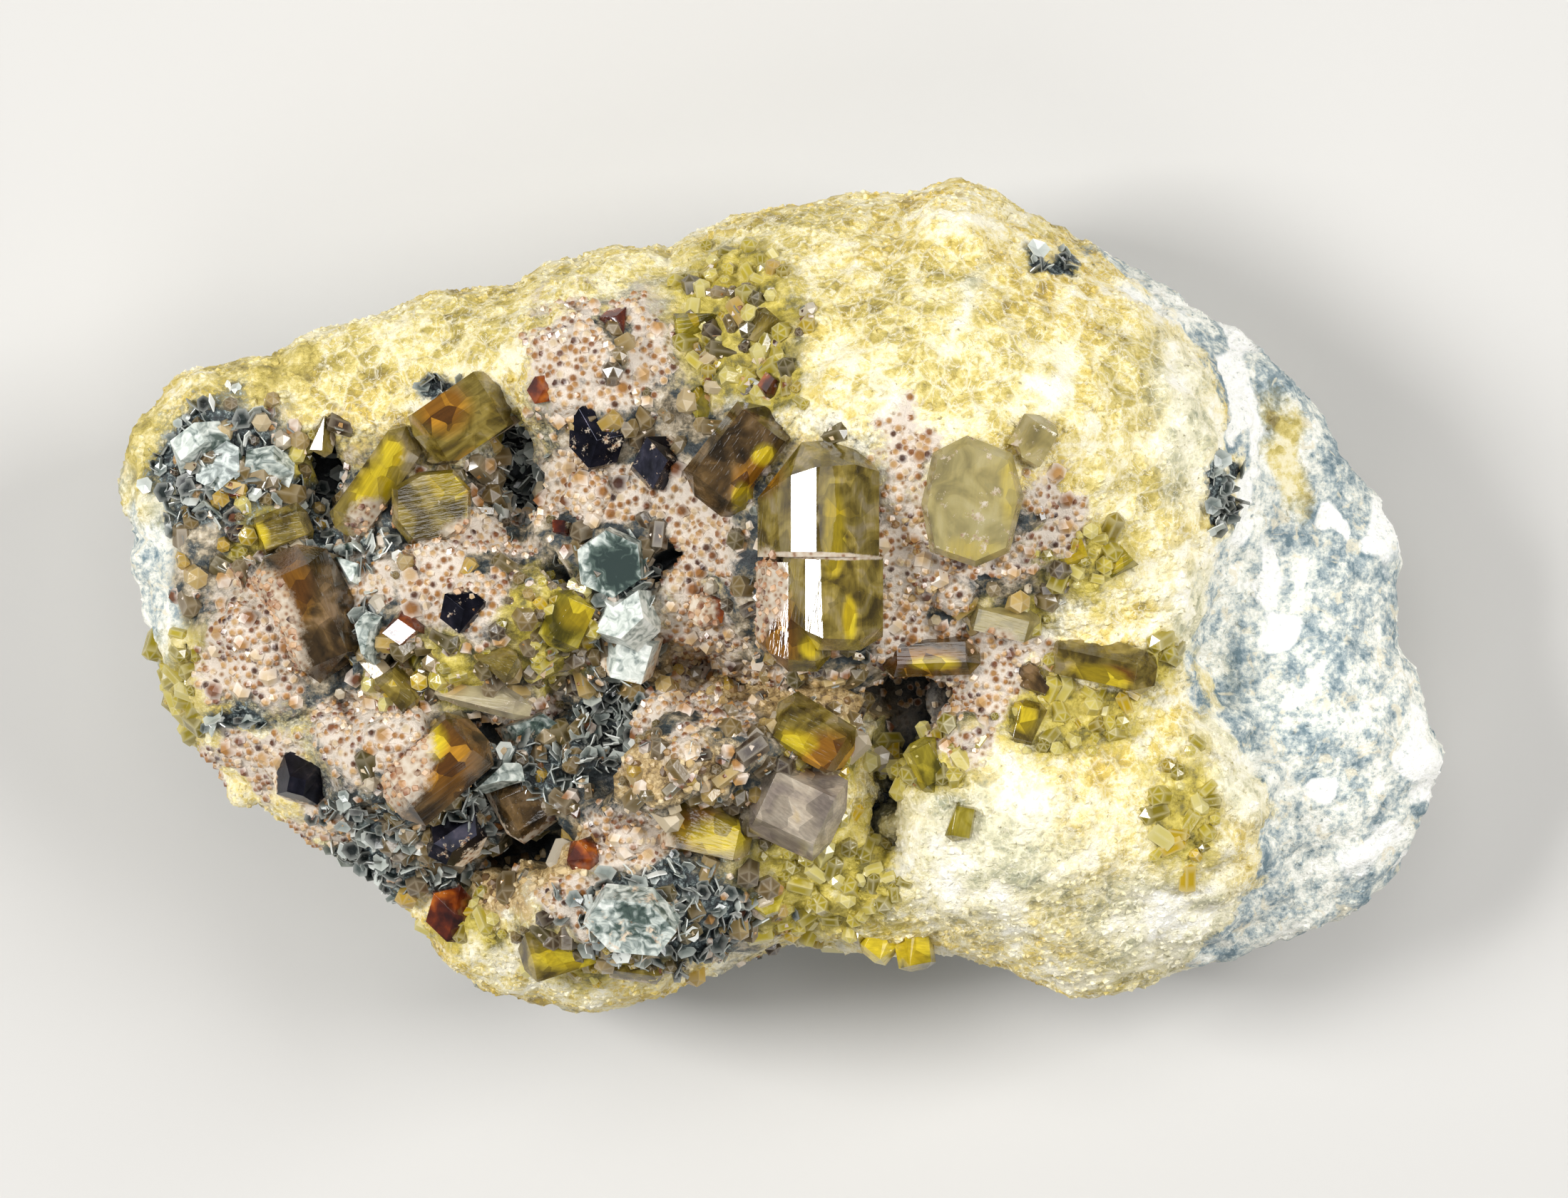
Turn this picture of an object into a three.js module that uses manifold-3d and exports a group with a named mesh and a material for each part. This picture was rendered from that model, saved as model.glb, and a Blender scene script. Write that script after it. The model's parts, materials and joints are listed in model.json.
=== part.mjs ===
// A lump of rock about 50 mm long that carries crystals of epidote, magnetite, garnet and chlorite.
// It lies on its broken back with the crystal face up. Millimetres, +Z up, +X along the lump.
// The origin is on the resting plane, under the middle of the outline.
import * as THREE from "three";
import { ConvexGeometry } from "three/addons/geometries/ConvexGeometry.js";
import { ImprovedNoise } from "three/addons/math/ImprovedNoise.js";
import { mergeVertices } from "three/addons/utils/BufferGeometryUtils.js";
import Module from "manifold-3d";

const wasm = await Module();
wasm.setup();

// Driving dimensions of the rock.
const GAP = 0.35; // left between a crystal and what it grows on
const ROCK_DETAIL = 12; // subdivisions of the icosahedron that the rock is drawn from
const BASE_HEIGHT = 9.2; // of the crystal face, before its rises and hollows
const RIM_HEIGHT = 7.4; // where the rock is widest
const RIM_TILT = -0.045; // the rim sinks towards +X
const UNDERCUT = 0.2; // how far the sides draw in towards the resting face, as a share of the reach
const UNDERCUT_VARIES = 0.176; // by this share either way round the rock
const SIDE_DENTS = 0.05; // depth of the hollows of the sides, as a share of the reach
const TOP_SHARE = 0.62; // of the rock's facets, on the crystal face
const WALL_SHARE = 0.26; // of the rock's facets, on the sides
const CRUST_STEP = 2.6; // height of the yellow crust's edge above the grey rock
const CRUST_EDGE_WIDTH = 1.5;
const FACE_ROUGHNESS = 0.6; // share of the rock's unevenness that the crystal face keeps
const COARSE_DENTS = { spacing: 4.1, height: 0.9 };
const FINE_DENTS = { spacing: 1.6, height: 0.45 };
const SHOULDER = 8; // the higher, the sharper the face turns into the sides
const UNDERCUT_TURNS = 1.9; // how often the undercut changes round the rock

// The outline seen from above, corner by corner, anticlockwise from the right.
const OUTLINE = [
  [23.2, 0.5], [23.7, 1.8], [23.4, 2.8], [21.9, 4.2], [21.1, 5.8], [20.0, 7.8],
  [17.9, 9.5], [15.6, 10.9], [12.6, 12.9], [9.9, 14.1], [7.9, 15.2], [6.9, 15.7],
  [6.0, 15.6], [5.4, 14.9], [3.4, 15.0], [0, 14.6], [-2.7, 13.9], [-4.7, 12.7],
  [-6.2, 13.1], [-8.7, 12.4], [-10.9, 11.4], [-14.1, 11.2], [-15.3, 10.5], [-17.2, 10.0],
  [-19.3, 9.0], [-22.1, 8.3], [-24.2, 7.8], [-24.9, 5.9], [-25.1, 3.9], [-24.4, 0.8],
  [-24.0, -1.8], [-22.8, -4.6], [-21.8, -6.3], [-19.8, -8.1], [-17.9, -9.0], [-15.8, -10.1],
  [-14.4, -11.4], [-13.2, -13.3], [-12.2, -14.6], [-9.8, -15.2], [-7.0, -15.7], [-5.8, -15.4],
  [-4.0, -14.6], [-2.4, -13.8], [0, -13.2], [2.3, -13.1], [4.2, -13.6], [6.9, -13.4],
  [8.2, -14.1], [10.0, -14.2], [11.0, -15.2], [12.7, -15.2], [15.3, -14.1], [18.9, -13.1],
  [21.7, -12.0], [23.2, -10.8], [24.2, -8.8], [24.3, -7.5], [25.2, -6.4], [24.3, -4.1],
  [23.5, -1.8],
];

// Where the yellow crust ends and the grey rock begins, from the top edge down.
const CRUST_EDGE = [
  [9.2, 15.7], [12.2, 12.2], [15.3, 9.9], [16.6, 7.0], [16.9, 3.6], [15.6, 0.2],
  [15.1, -2.6], [16.6, -5.2], [18.3, -7.6], [17.8, -10.6], [14.4, -15.7],
];

// Rises and hollows of the crystal face: middle, half width and height, turn in degrees, rise, and sharpness
// of the edge.
const RELIEF = [
  { name: "whole dome", at: [-1, 0.5], reach: [25, 15.5], turn: 0, rise: 4.4, edge: 1 },
  { name: "yellow dome", at: [7.4, 7.0], reach: [9.0, 6.6], turn: -15, rise: 4.2, edge: 1.3 },
  { name: "main crystal's ledge", at: [1.0, 1.4], reach: [3.8, 4.8], turn: 0, rise: 1.7, edge: 1.2 },
  { name: "lower right dome", at: [9.5, -9.4], reach: [7.6, 4.4], turn: -5, rise: 2.4, edge: 1.3 },
  { name: "grey far ridge", at: [21.5, -4.5], reach: [3.4, 6.0], turn: 0, rise: 1.6, edge: 1 },
  { name: "top knob", at: [6.8, 14.2], reach: [1.7, 1.3], turn: 0, rise: 2.2, edge: 1.2 },
  { name: "garnet knob", at: [-8.0, 8.8], reach: [3.1, 2.6], turn: 0, rise: 2.2, edge: 1.4 },
  { name: "left wall", at: [-22.8, 4.0], reach: [1.8, 5.0], turn: 5, rise: 0.9, edge: 1 },
  { name: "left sugar hump", at: [-20.4, -1.9], reach: [2.7, 2.6], turn: 10, rise: 1.9, edge: 1.3 },
  { name: "lower left sugar hump", at: [-15.3, -6.0], reach: [2.8, 2.1], turn: -30, rise: 2.2, edge: 1.3 },
  { name: "middle hump", at: [-11.0, -0.7], reach: [4.4, 2.5], turn: 12, rise: 1.9, edge: 1.2 },
  { name: "lower rim hump", at: [-6.4, -12.0], reach: [4.0, 2.2], turn: -5, rise: 2.6, edge: 1.3 },
  { name: "sugar slab", at: [-3.6, -6.3], reach: [3.7, 1.6], turn: 24, rise: 3.6, edge: 1.3 },
  {
    name: "hollow under the main crystal", at: [-2.4, -3.3], reach: [3.4, 1.5],
    turn: -12, rise: -4.4, edge: 1.3,
  },
  { name: "deep hole", at: [4.4, -4.4], reach: [1.7, 1.2], turn: 0, rise: -4.6, edge: 1.3 },
  { name: "crack", at: [3.7, -7.4], reach: [1.2, 2.8], turn: 4, rise: -2.6, edge: 1.2 },
  { name: "upper recess", at: [-10.3, 4.2], reach: [1.6, 2.9], turn: 8, rise: -3.8, edge: 1.2 },
  { name: "left recess", at: [-17.3, 3.8], reach: [1.4, 1.9], turn: 0, rise: -3.0, edge: 1.2 },
  { name: "pit beside the chlorite", at: [-8.6, -4.3], reach: [1.6, 1.7], turn: 0, rise: -3.2, edge: 1.2 },
  { name: "diagonal groove", at: [-11.4, -10.4], reach: [3.6, 1.3], turn: 38, rise: -3.6, edge: 1.2 },
  { name: "left pit", at: [-16.6, -4.4], reach: [1.4, 1.0], turn: 0, rise: -2.2, edge: 1.2 },
];

// Patches of sugary garnet: middle, half width and height, turn in degrees, and how many grains the solid
// shows.
const SUGAR_PATCHES = [
  { at: [-8.4, 8.9], reach: [2.6, 2.2], turn: 0, grains: 4 },
  { at: [-6.4, 4.0], reach: [1.6, 2.3], turn: 25, grains: 2 },
  { at: [-20.4, -2.0], reach: [2.2, 2.4], turn: 15, grains: 3 },
  { at: [-15.4, -5.8], reach: [2.6, 1.6], turn: -35, grains: 2 },
  { at: [-12.4, 1.2], reach: [3.4, 1.1], turn: 12, grains: 2 },
  { at: [-4.0, -6.1], reach: [3.2, 1.2], turn: 24, grains: 3 },
  { at: [5.2, 0.2], reach: [2.0, 2.4], turn: 5, grains: 2 },
  { at: [6.9, -3.4], reach: [1.5, 2.2], turn: -8, grains: 2 },
  { at: [-20.3, -6.4], reach: [1.6, 1.2], turn: -35, grains: 1 },
  { at: [-5.9, -10.2], reach: [1.5, 1.6], turn: 30, grains: 1 },
];
const SUGAR_GRAIN = 0.5; // middle radius of a fused grain
const SUGAR_TRIES = 60; // places tried in a patch before it is left with fewer grains

// Proportions of the crystals' shapes.
const GARNET_CORNER = 0.56; // of the radius, for each step to a corner of the dodecahedron
const MAGNETITE_CUT = 0.4; // of the radius, from an axis to the edge of the corner that is cut off
const PRISM_POINT = 0.22; // share of a prism's length that its two ends take
const PRISM_LEAN = 0.35; // how far the end faces lean over, as a share of the point
const TABLE_TOP = 0.88; // a table's upper face, as a share of its girdle
const TABLE_FOOT = 0.9; // a table's lower face, as a share of its girdle
const TABLE_GIRDLE = 0.12; // height of the girdle above the middle, as a share of the thickness
const PLATE_HALF = 0.62; // half the thickness of a chlorite plate, as a share of its room in the book
const PLATE_TWIST = 0.5; // turn between the first and the last plate, in radians
const PLATE_SPREAD = 0.8; // of a book's thickness, between its first and its last plate

const COLOURS = {
  rock: { color: 0xcdbf86, roughness: 0.9, metalness: 0 },
  epidote: { color: 0x7d7322, roughness: 0.15, metalness: 0 },
  brownEpidote: { color: 0x4f3d18, roughness: 0.2, metalness: 0 },
  greyEpidote: { color: 0x8f8779, roughness: 0.3, metalness: 0 },
  yellowEpidote: { color: 0xb9a127, roughness: 0.25, metalness: 0 },
  magnetite: { color: 0x1d1b20, roughness: 0.3, metalness: 0.6 },
  garnet: { color: 0x6b2f16, roughness: 0.2, metalness: 0 },
  chlorite: { color: 0x9fb0a8, roughness: 0.4, metalness: 0 },
};

const noise = new ImprovedNoise();

const radians = THREE.MathUtils.degToRad;

// Coarse and fine unevenness of a broken rock, in mm.
function roughness(x, y, z) {
  const dents = ({ spacing, height }, dx, dy, dz) =>
    height * noise.noise(x / spacing + dx, y / spacing + dy, z / spacing + dz);
  return dents(COARSE_DENTS, 7.3, 1.7, 0) + dents(FINE_DENTS, 0, 3.1, 5.9);
}

// How far the outline reaches from the origin in a direction, where a ray crosses the outline's edges.
function outlineReach(angle) {
  const dx = Math.cos(angle);
  const dy = Math.sin(angle);
  let reach = 0;
  for (let i = 0; i < OUTLINE.length; i += 1) {
    const [ax, ay] = OUTLINE[i];
    const [bx, by] = OUTLINE[(i + 1) % OUTLINE.length];
    const ex = bx - ax;
    const ey = by - ay;
    const cross = dx * ey - dy * ex;
    if (Math.abs(cross) < 1e-9) continue;
    const alongRay = (ax * ey - ay * ex) / cross;
    const alongEdge = (ax * dy - ay * dx) / cross;
    if (alongRay > 0 && alongEdge >= 0 && alongEdge <= 1) reach = Math.max(reach, alongRay);
  }
  return reach;
}

// Height at which the rock is widest, above a point of the outline.
const rimHeight = (x) => RIM_HEIGHT + RIM_TILT * x;

// A bell that is 1 at the middle of an ellipse and falls off near its border, steeply for a sharp edge.
function bell(x, y, { at, reach, turn, edge }) {
  const angle = radians(turn);
  const u = ((x - at[0]) * Math.cos(angle) + (y - at[1]) * Math.sin(angle)) / reach[0];
  const v = ((y - at[1]) * Math.cos(angle) - (x - at[0]) * Math.sin(angle)) / reach[1];
  return Math.exp(-((u * u + v * v) ** edge));
}

// The x of the yellow crust's edge at a given y.
function crustEdge(y) {
  for (let i = 1; i < CRUST_EDGE.length; i += 1) {
    const [ax, ay] = CRUST_EDGE[i - 1];
    const [bx, by] = CRUST_EDGE[i];
    if (y >= by) return THREE.MathUtils.lerp(bx, ax, Math.min(1, (y - by) / (ay - by)));
  }
  return CRUST_EDGE.at(-1)[0];
}

// Height of the crystal face above the resting plane, rounded off towards the rim.
function faceHeight(x, y, grow = 0) {
  const beyond = THREE.MathUtils.smoothstep(x - crustEdge(y), -CRUST_EDGE_WIDTH / 2, CRUST_EDGE_WIDTH / 2);
  const relief = RELIEF.reduce((sum, form) => sum + form.rise * bell(x, y, form), 0);
  const height = BASE_HEIGHT + relief - CRUST_STEP * beyond + roughness(x, y, 0) * FACE_ROUGHNESS + grow;
  const plan = Math.max(1e-6, Math.hypot(x, y) / (outlineReach(Math.atan2(y, x)) + grow));
  const shoulder = Math.sqrt(Math.max(0, 1 - plan ** SHOULDER));
  return rimHeight(x / plan) + (height - rimHeight(x / plan)) * shoulder;
}

// How far the side draws in below the rim, all round the rock.
function undercut(angle) {
  const varies = noise.noise(UNDERCUT_TURNS * Math.cos(angle), UNDERCUT_TURNS * Math.sin(angle), 4.4);
  return UNDERCUT + UNDERCUT_VARIES * varies;
}

// Carries a direction of the unit sphere to the rock's surface: crystal face, side or resting face.
function rockPoint(direction, grow) {
  const angle = Math.atan2(direction.y, direction.x);
  const share = (1 - direction.z) / 2;
  const reach = outlineReach(angle) + grow;
  const rim = rimHeight(reach * Math.cos(angle));
  let plan;
  let z;
  if (share < TOP_SHARE) {
    plan = Math.sqrt(share / TOP_SHARE);
    z = faceHeight(reach * plan * Math.cos(angle), reach * plan * Math.sin(angle), grow);
  } else if (share < TOP_SHARE + WALL_SHARE) {
    const turn = ((share - TOP_SHARE) / WALL_SHARE) * (Math.PI / 2);
    const dent = Math.max(0, 1 + 2 * roughness(direction.x * 8, direction.y * 8, direction.z * 8));
    plan = 1 - undercut(angle) * (1 - Math.cos(turn)) - SIDE_DENTS * dent * Math.sin(turn * 2);
    z = rim * (1 - Math.sin(turn)) - grow * (share - TOP_SHARE);
  } else {
    const inside = (1 - share) / (1 - TOP_SHARE - WALL_SHARE);
    plan = (1 - undercut(angle)) * Math.sqrt(Math.max(0, inside));
    z = -grow * WALL_SHARE;
  }
  return new THREE.Vector3(reach * plan * Math.cos(angle), reach * plan * Math.sin(angle), z);
}

// A closed three.js geometry as a solid that can be joined and cut.
function toSolid(geometry) {
  const bare = geometry.index ? geometry.toNonIndexed() : geometry.clone();
  for (const name of Object.keys(bare.attributes).filter((key) => key !== "position")) {
    bare.deleteAttribute(name);
  }
  const merged = mergeVertices(bare, 1e-4);
  return new wasm.Manifold(
    new wasm.Mesh({
      numProp: 3,
      vertProperties: new Float32Array(merged.attributes.position.array),
      triVerts: new Uint32Array(merged.index.array),
    }),
  );
}

// A solid back as a flat-shaded geometry.
function toGeometry(solid) {
  const mesh = solid.getMesh();
  const geometry = new THREE.BufferGeometry();
  geometry.setAttribute("position", new THREE.BufferAttribute(new Float32Array(mesh.vertProperties), 3));
  geometry.setIndex(new THREE.BufferAttribute(new Uint32Array(mesh.triVerts), 1));
  const flat = geometry.toNonIndexed();
  flat.computeVertexNormals();
  return flat;
}

const joined = (solids) => solids.reduce((sum, solid) => sum.add(solid));

// The largest of the bodies that a cut leaves.
function largestBody(solid) {
  return solid.decompose().reduce((best, body) => (body.volume() > best.volume() ? body : best));
}

// Repeatable numbers from 0 to 1.
function randomSource(seed) {
  return () => {
    seed = (seed * 1664525 + 1013904223) % 4294967296;
    return seed / 4294967296;
  };
}

// Rhombic dodecahedron, the habit of garnet.
function dodecahedron(radius) {
  const signs = [-1, 1];
  const cube = signs.flatMap((x) => signs.flatMap((y) => signs.map((z) => new THREE.Vector3(x, y, z))));
  const tips = [0, 1, 2].flatMap((axis) =>
    signs.map((sign) => new THREE.Vector3().setComponent(axis, 2 * sign)),
  );
  const corners = [...cube, ...tips];
  return new ConvexGeometry(corners.map((corner) => corner.multiplyScalar(radius * GARNET_CORNER)));
}

// Octahedron with its corners cut off, the habit of magnetite.
function cutOctahedron(radius) {
  const points = [];
  for (const [axis, other] of [[0, 1], [1, 2], [2, 0], [0, 2], [1, 0], [2, 1]]) {
    for (const far of [-radius, radius]) {
      for (const near of [-radius * MAGNETITE_CUT, radius * MAGNETITE_CUT]) {
        points.push(new THREE.Vector3().setComponent(axis, far).setComponent(other, near));
      }
    }
  }
  return new ConvexGeometry(points);
}

// Epidote prism along X: a flattened six-sided section, closed at each end by faces that meet in a ridge.
function epidotePrism([length, width, thickness]) {
  const section = [
    [-0.5, -0.02], [-0.27, 0.5], [0.3, 0.5], [0.5, 0.08], [0.26, -0.5], [-0.3, -0.5],
  ];
  const points = [];
  for (const side of [-1, 1]) {
    const shoulder = (side * length * (1 - PRISM_POINT)) / 2;
    for (const [v, w] of section) {
      const lean = side * w * length * PRISM_POINT * PRISM_LEAN;
      points.push(new THREE.Vector3(shoulder - lean, v * width, w * thickness));
    }
    for (const v of [-0.22, 0.2]) {
      points.push(new THREE.Vector3((side * length) / 2, v * width, 0.06 * thickness));
    }
  }
  return new ConvexGeometry(points);
}

// Tabular crystal in the XY plane: an eight-sided table with sloping edges.
function epidoteTable([length, width, thickness]) {
  const corners = [
    [0.5, 0.12], [0.34, 0.44], [-0.06, 0.5], [-0.42, 0.36],
    [-0.5, -0.1], [-0.36, -0.42], [0.08, -0.5], [0.4, -0.34],
  ];
  const points = [];
  for (const [u, v] of corners) {
    points.push(new THREE.Vector3(u * length * TABLE_TOP, v * width * TABLE_TOP, thickness / 2));
    points.push(new THREE.Vector3(u * length, v * width, thickness * TABLE_GIRDLE));
    points.push(new THREE.Vector3(u * length * TABLE_FOOT, v * width * TABLE_FOOT, -thickness / 2));
  }
  return new ConvexGeometry(points);
}

// Chlorite book: six-sided plates that fan out about X, each turned a little on the last.
function chloriteBook([across, depth, thickness], plates, fan) {
  const parts = [];
  for (let i = 0; i < plates; i += 1) {
    const share = plates === 1 ? 0 : i / (plates - 1) - 0.5;
    const half = (thickness / plates) * PLATE_HALF;
    const points = [];
    for (let corner = 0; corner < 6; corner += 1) {
      const angle = (corner * Math.PI) / 3 + share * PLATE_TWIST;
      const x = (Math.cos(angle) * across) / 2;
      const y = (Math.sin(angle) * depth) / 2;
      const level = share * thickness * PLATE_SPREAD;
      points.push(new THREE.Vector3(x, y, level - half), new THREE.Vector3(x, y, level + half));
    }
    parts.push(new ConvexGeometry(points).rotateX(radians(share * fan)));
  }
  return parts;
}

// A crystal given by its own corners, made larger about their middle by grow.
function cornerHull(corners, grow) {
  const points = corners.map((corner) => new THREE.Vector3(...corner));
  const middle = new THREE.Box3().setFromPoints(points).getCenter(new THREE.Vector3());
  return new ConvexGeometry(
    points.map((p) => p.clone().add(p.clone().sub(middle).normalize().multiplyScalar(grow * 1.3))),
  );
}

// The bare shapes of a crystal, lying at the origin, made larger on every side by grow.
function crystalShapes({ kind, size, corners, plates = 2, fan = 30 }, grow) {
  if (corners) return [cornerHull(corners, grow)];
  const larger = size.map((s) => s + 2 * grow);
  if (kind === "garnet") return [dodecahedron(larger[0] / 2)];
  if (kind === "magnetite") return [cutOctahedron(larger[0] / 2)];
  if (kind === "table") return [epidoteTable(larger)];
  if (kind === "chlorite") return chloriteBook(larger, plates, fan);
  return [epidotePrism(larger)];
}

// A crystal as a solid in its place on the rock. Turn is about Z, tip lifts its +X end, and roll is about its
// own axis.
function crystalSolid(crystal, grow) {
  const parts = [crystal, ...(crystal.grownWith ?? [])];
  return joined(
    parts.map((part) => {
      const { at, lift = 0, turn = 0, tip = 0, roll = 0 } = part;
      const base = crystal.height ?? faceHeight(crystal.at[0], crystal.at[1]) + (crystal.lift ?? 0);
      const place = new THREE.Matrix4()
        .makeTranslation(at[0], at[1], part === crystal ? base : base + lift)
        .multiply(new THREE.Matrix4().makeRotationZ(radians(turn)))
        .multiply(new THREE.Matrix4().makeRotationY(radians(-tip)))
        .multiply(new THREE.Matrix4().makeRotationX(radians(roll)));
      return joined(crystalShapes(part, grow).map((shape) => toSolid(shape.applyMatrix4(place))));
    }),
  );
}

// Corners of the main crystal's three grown-together parts, measured from the point below its crest.
const MAIN_UPPER = [
  [-0.95, 1.4, -1.6], [0.3, 1.4, -0.4], [1.25, 1.4, 0], [2.7, 1.4, -0.12], [3.6, 1.4, -0.95],
  [3.7, 1.4, -4.2], [-0.9, 1.4, -4.2],
  [-0.95, 3.6, -1.6], [0.3, 4.45, -0.4], [1.25, 4.75, 0], [2.7, 4.85, -0.12], [3.6, 4.6, -0.95],
  [-0.6, 4.6, -2.7], [0.7, 5.7, -1.5], [2.4, 5.75, -1.5], [3.45, 5.2, -2.2],
  [3.4, 5.2, -4.2], [-0.4, 4.9, -4.2], [1.5, 5.75, -4.2],
];
const MAIN_LOWER = [
  [0, 1.4, -1.3], [0.84, 1.4, -0.44], [1.4, 1.4, -0.2], [2.85, 1.4, -0.3], [3.75, 1.4, -1.1],
  [3.8, 1.4, -4.2], [0, 1.4, -4.2],
  [0, -0.7, -1.3], [0.84, -1.35, -0.44], [1.5, -1.65, -0.2], [2.85, -1.7, -0.3], [3.75, -1.2, -1.1],
  [1.3, -2.1, -1.1], [2.9, -2.1, -1.1], [3.75, -1.6, -2.1],
  [3.7, -1.6, -4.2], [1.4, -2.2, -4.2], [0, -1, -4.2],
];
const MAIN_LOWER_LEFT = [
  [-1.0, 1.2, -2.2], [-0.55, 1.2, -1.4], [0.2, 1.2, -1.0], [1.2, 1.2, -1.2], [1.8, 1.2, -1.8],
  [-1.0, 1.2, -4.2], [1.8, 1.2, -4.2],
  [-1.0, -1.7, -2.2], [-0.5, -2.2, -1.4], [0.2, -2.45, -1.0], [1.2, -2.5, -1.2], [1.8, -2.3, -1.8],
  [0.2, -2.9, -2.0], [1.3, -2.9, -2.1], [1.2, -2.9, -4.2], [-0.8, -2.1, -4.2],
];

// The crystals, in front before behind. Size is length, width and thickness, and at is the middle from above.
const CRYSTALS = [
  {
    name: "epidote_main", colour: "epidote", corners: MAIN_UPPER,
    size: [8.6], at: [0, 0], height: 18.8, clear: [1.4, 1.3],
    grownWith: [
      { corners: MAIN_LOWER, at: [0, 0], size: [8.6], clear: [1.4, 1.3] },
      { corners: MAIN_LOWER_LEFT, at: [0, 0], size: [8.6], clear: [1.4, 1.3] },
    ],
  },
  {
    name: "epidote_dark_striated", colour: "brownEpidote", kind: "prism",
    size: [4.3, 3.1, 2.8], at: [-1.5, 5.0], lift: 0.66, turn: 52, roll: -12,
  },
  {
    name: "epidote_table_right", colour: "epidote", kind: "table",
    size: [4.9, 3.8, 1.6], at: [7.1, 3.5], lift: 0.36, turn: 84, tip: 6,
  },
  {
    name: "epidote_beside_table", colour: "epidote", kind: "prism",
    size: [2.0, 1.8, 1.5], at: [9.4, 5.7], lift: 0.3, turn: 60, roll: 15,
  },
  {
    name: "epidote_prism_right", colour: "epidote", kind: "prism",
    size: [4.4, 1.8, 1.7], at: [12.0, -2.6], lift: 0.54, turn: -12, tip: 10, roll: 20,
  },
  {
    name: "epidote_dark_bar", colour: "brownEpidote", kind: "prism",
    size: [3.7, 1.4, 1.3], at: [5.6, -2.4], lift: 0.54, turn: 2, roll: -15,
  },
  {
    name: "epidote_dark_chip", colour: "brownEpidote", kind: "prism",
    size: [1.6, 1.2, 1.1], at: [9.6, -3.2], lift: 0.3, turn: -30,
  },
  {
    name: "epidote_chunk_right", colour: "epidote", kind: "prism",
    size: [2.8, 1.6, 1.5], at: [8.3, -0.9], lift: 0.3, turn: -14, roll: 25,
  },
  {
    name: "epidote_grey_striated", colour: "greyEpidote", kind: "prism",
    size: [3.4, 3.4, 2.8], at: [0.6, -8.0], lift: 0.66, turn: -25, tip: 4, roll: 6,
  },
  {
    name: "epidote_olive_behind_grey", colour: "epidote", kind: "prism",
    size: [3.4, 2.5, 2.2], at: [1.0, -5.4], lift: 0.42, turn: -32,
  },
  {
    name: "epidote_amber_middle", colour: "epidote", kind: "prism",
    size: [3.7, 2.1, 2.0], at: [-3.0, -9.0], lift: 0.6, turn: -12, roll: 14,
  },
  {
    name: "epidote_amber_lower_left", colour: "brownEpidote", kind: "prism",
    size: [4.4, 2.8, 2.3], at: [-13.1, -6.6], lift: 0.54, turn: 42, roll: -18,
  },
  {
    name: "epidote_olive_groove", colour: "brownEpidote", kind: "prism",
    size: [3.2, 2.4, 2.0], at: [-9.4, -7.8], lift: 0.42, turn: 32,
  },
  {
    name: "epidote_brown_left", colour: "brownEpidote", kind: "prism",
    size: [5.2, 3.3, 2.6], at: [-17.9, -0.7], lift: 0.54, turn: -66, tip: -5, roll: 10,
  },
  {
    name: "epidote_blade_left", colour: "epidote", kind: "prism",
    size: [4.7, 1.8, 1.6], at: [-15.4, 4.3], lift: 0.72, turn: 55, roll: 30,
  },
  {
    name: "epidote_round_left", colour: "epidote", kind: "table",
    size: [3.2, 2.8, 2.0], at: [-13.3, 3.3], lift: 0.6, turn: 12, tip: -6,
  },
  {
    name: "epidote_pointed_upper_left", colour: "epidote", kind: "prism",
    size: [3.7, 2.9, 2.4], at: [-12.3, 6.6], lift: 0.54, turn: 35, tip: -8, roll: 30,
  },
  {
    name: "epidote_olive_left", colour: "epidote", kind: "prism",
    size: [2.3, 1.7, 1.5], at: [-19.0, 2.4], lift: 0.36, turn: 20,
  },
  {
    name: "epidote_stick", colour: "greyEpidote", kind: "prism",
    size: [4.3, 0.95, 0.9], at: [-11.6, -3.9], lift: 0.6, turn: -14, tip: 3,
  },
  {
    name: "epidote_amber_small", colour: "epidote", kind: "prism",
    size: [2.0, 1.3, 1.2], at: [-14.6, -3.7], lift: 0.36, turn: -48,
  },
  {
    name: "epidote_yellow_middle", colour: "yellowEpidote", kind: "prism",
    size: [2.3, 1.9, 1.6], at: [-8.1, -1.0], lift: 0.36, turn: 66, roll: 22,
  },
  {
    name: "epidote_olive_middle", colour: "epidote", kind: "prism",
    size: [1.9, 1.4, 1.2], at: [-10.8, -2.4], lift: 0.3, turn: -30,
  },
  {
    name: "epidote_olive_lower_rim", colour: "epidote", kind: "prism",
    size: [3.0, 2.1, 1.8], at: [-8.5, -13.4], lift: 0.42, turn: 18, roll: -20,
  },
  {
    name: "epidote_olive_lower_rim_small", colour: "epidote", kind: "prism",
    size: [2.3, 1.4, 1.2], at: [-5.6, -14.0], lift: 0.3, turn: -8,
  },
  {
    name: "epidote_rim_pair", colour: "yellowEpidote", kind: "prism",
    size: [1.7, 1.4, 1.4], at: [3.8, -13.2], lift: 0.54, turn: 50,
    grownWith: [
      { kind: "prism", size: [1.7, 1.5, 1.5], at: [5.0, -13.5], lift: 0.06, turn: 100, roll: 12 },
    ],
  },
  {
    name: "epidote_yellow_chip_lower", colour: "yellowEpidote", kind: "table",
    size: [2.2, 1.4, 0.9], at: [-0.5, -11.2], lift: 0.3, turn: 74,
  },
  {
    name: "epidote_yellow_by_crack", colour: "yellowEpidote", kind: "prism",
    size: [2.0, 1.4, 1.3], at: [5.5, -6.4], lift: 0.24, turn: 118,
  },
  {
    name: "epidote_yellow_below_crack", colour: "yellowEpidote", kind: "prism",
    size: [1.6, 1.2, 1.1], at: [6.8, -8.6], lift: 0.24, turn: 80,
  },
  {
    name: "epidote_olive_right", colour: "epidote", kind: "prism",
    size: [1.8, 1.3, 1.2], at: [9.2, -4.9], lift: 0.3, turn: 76,
  },
  {
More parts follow.
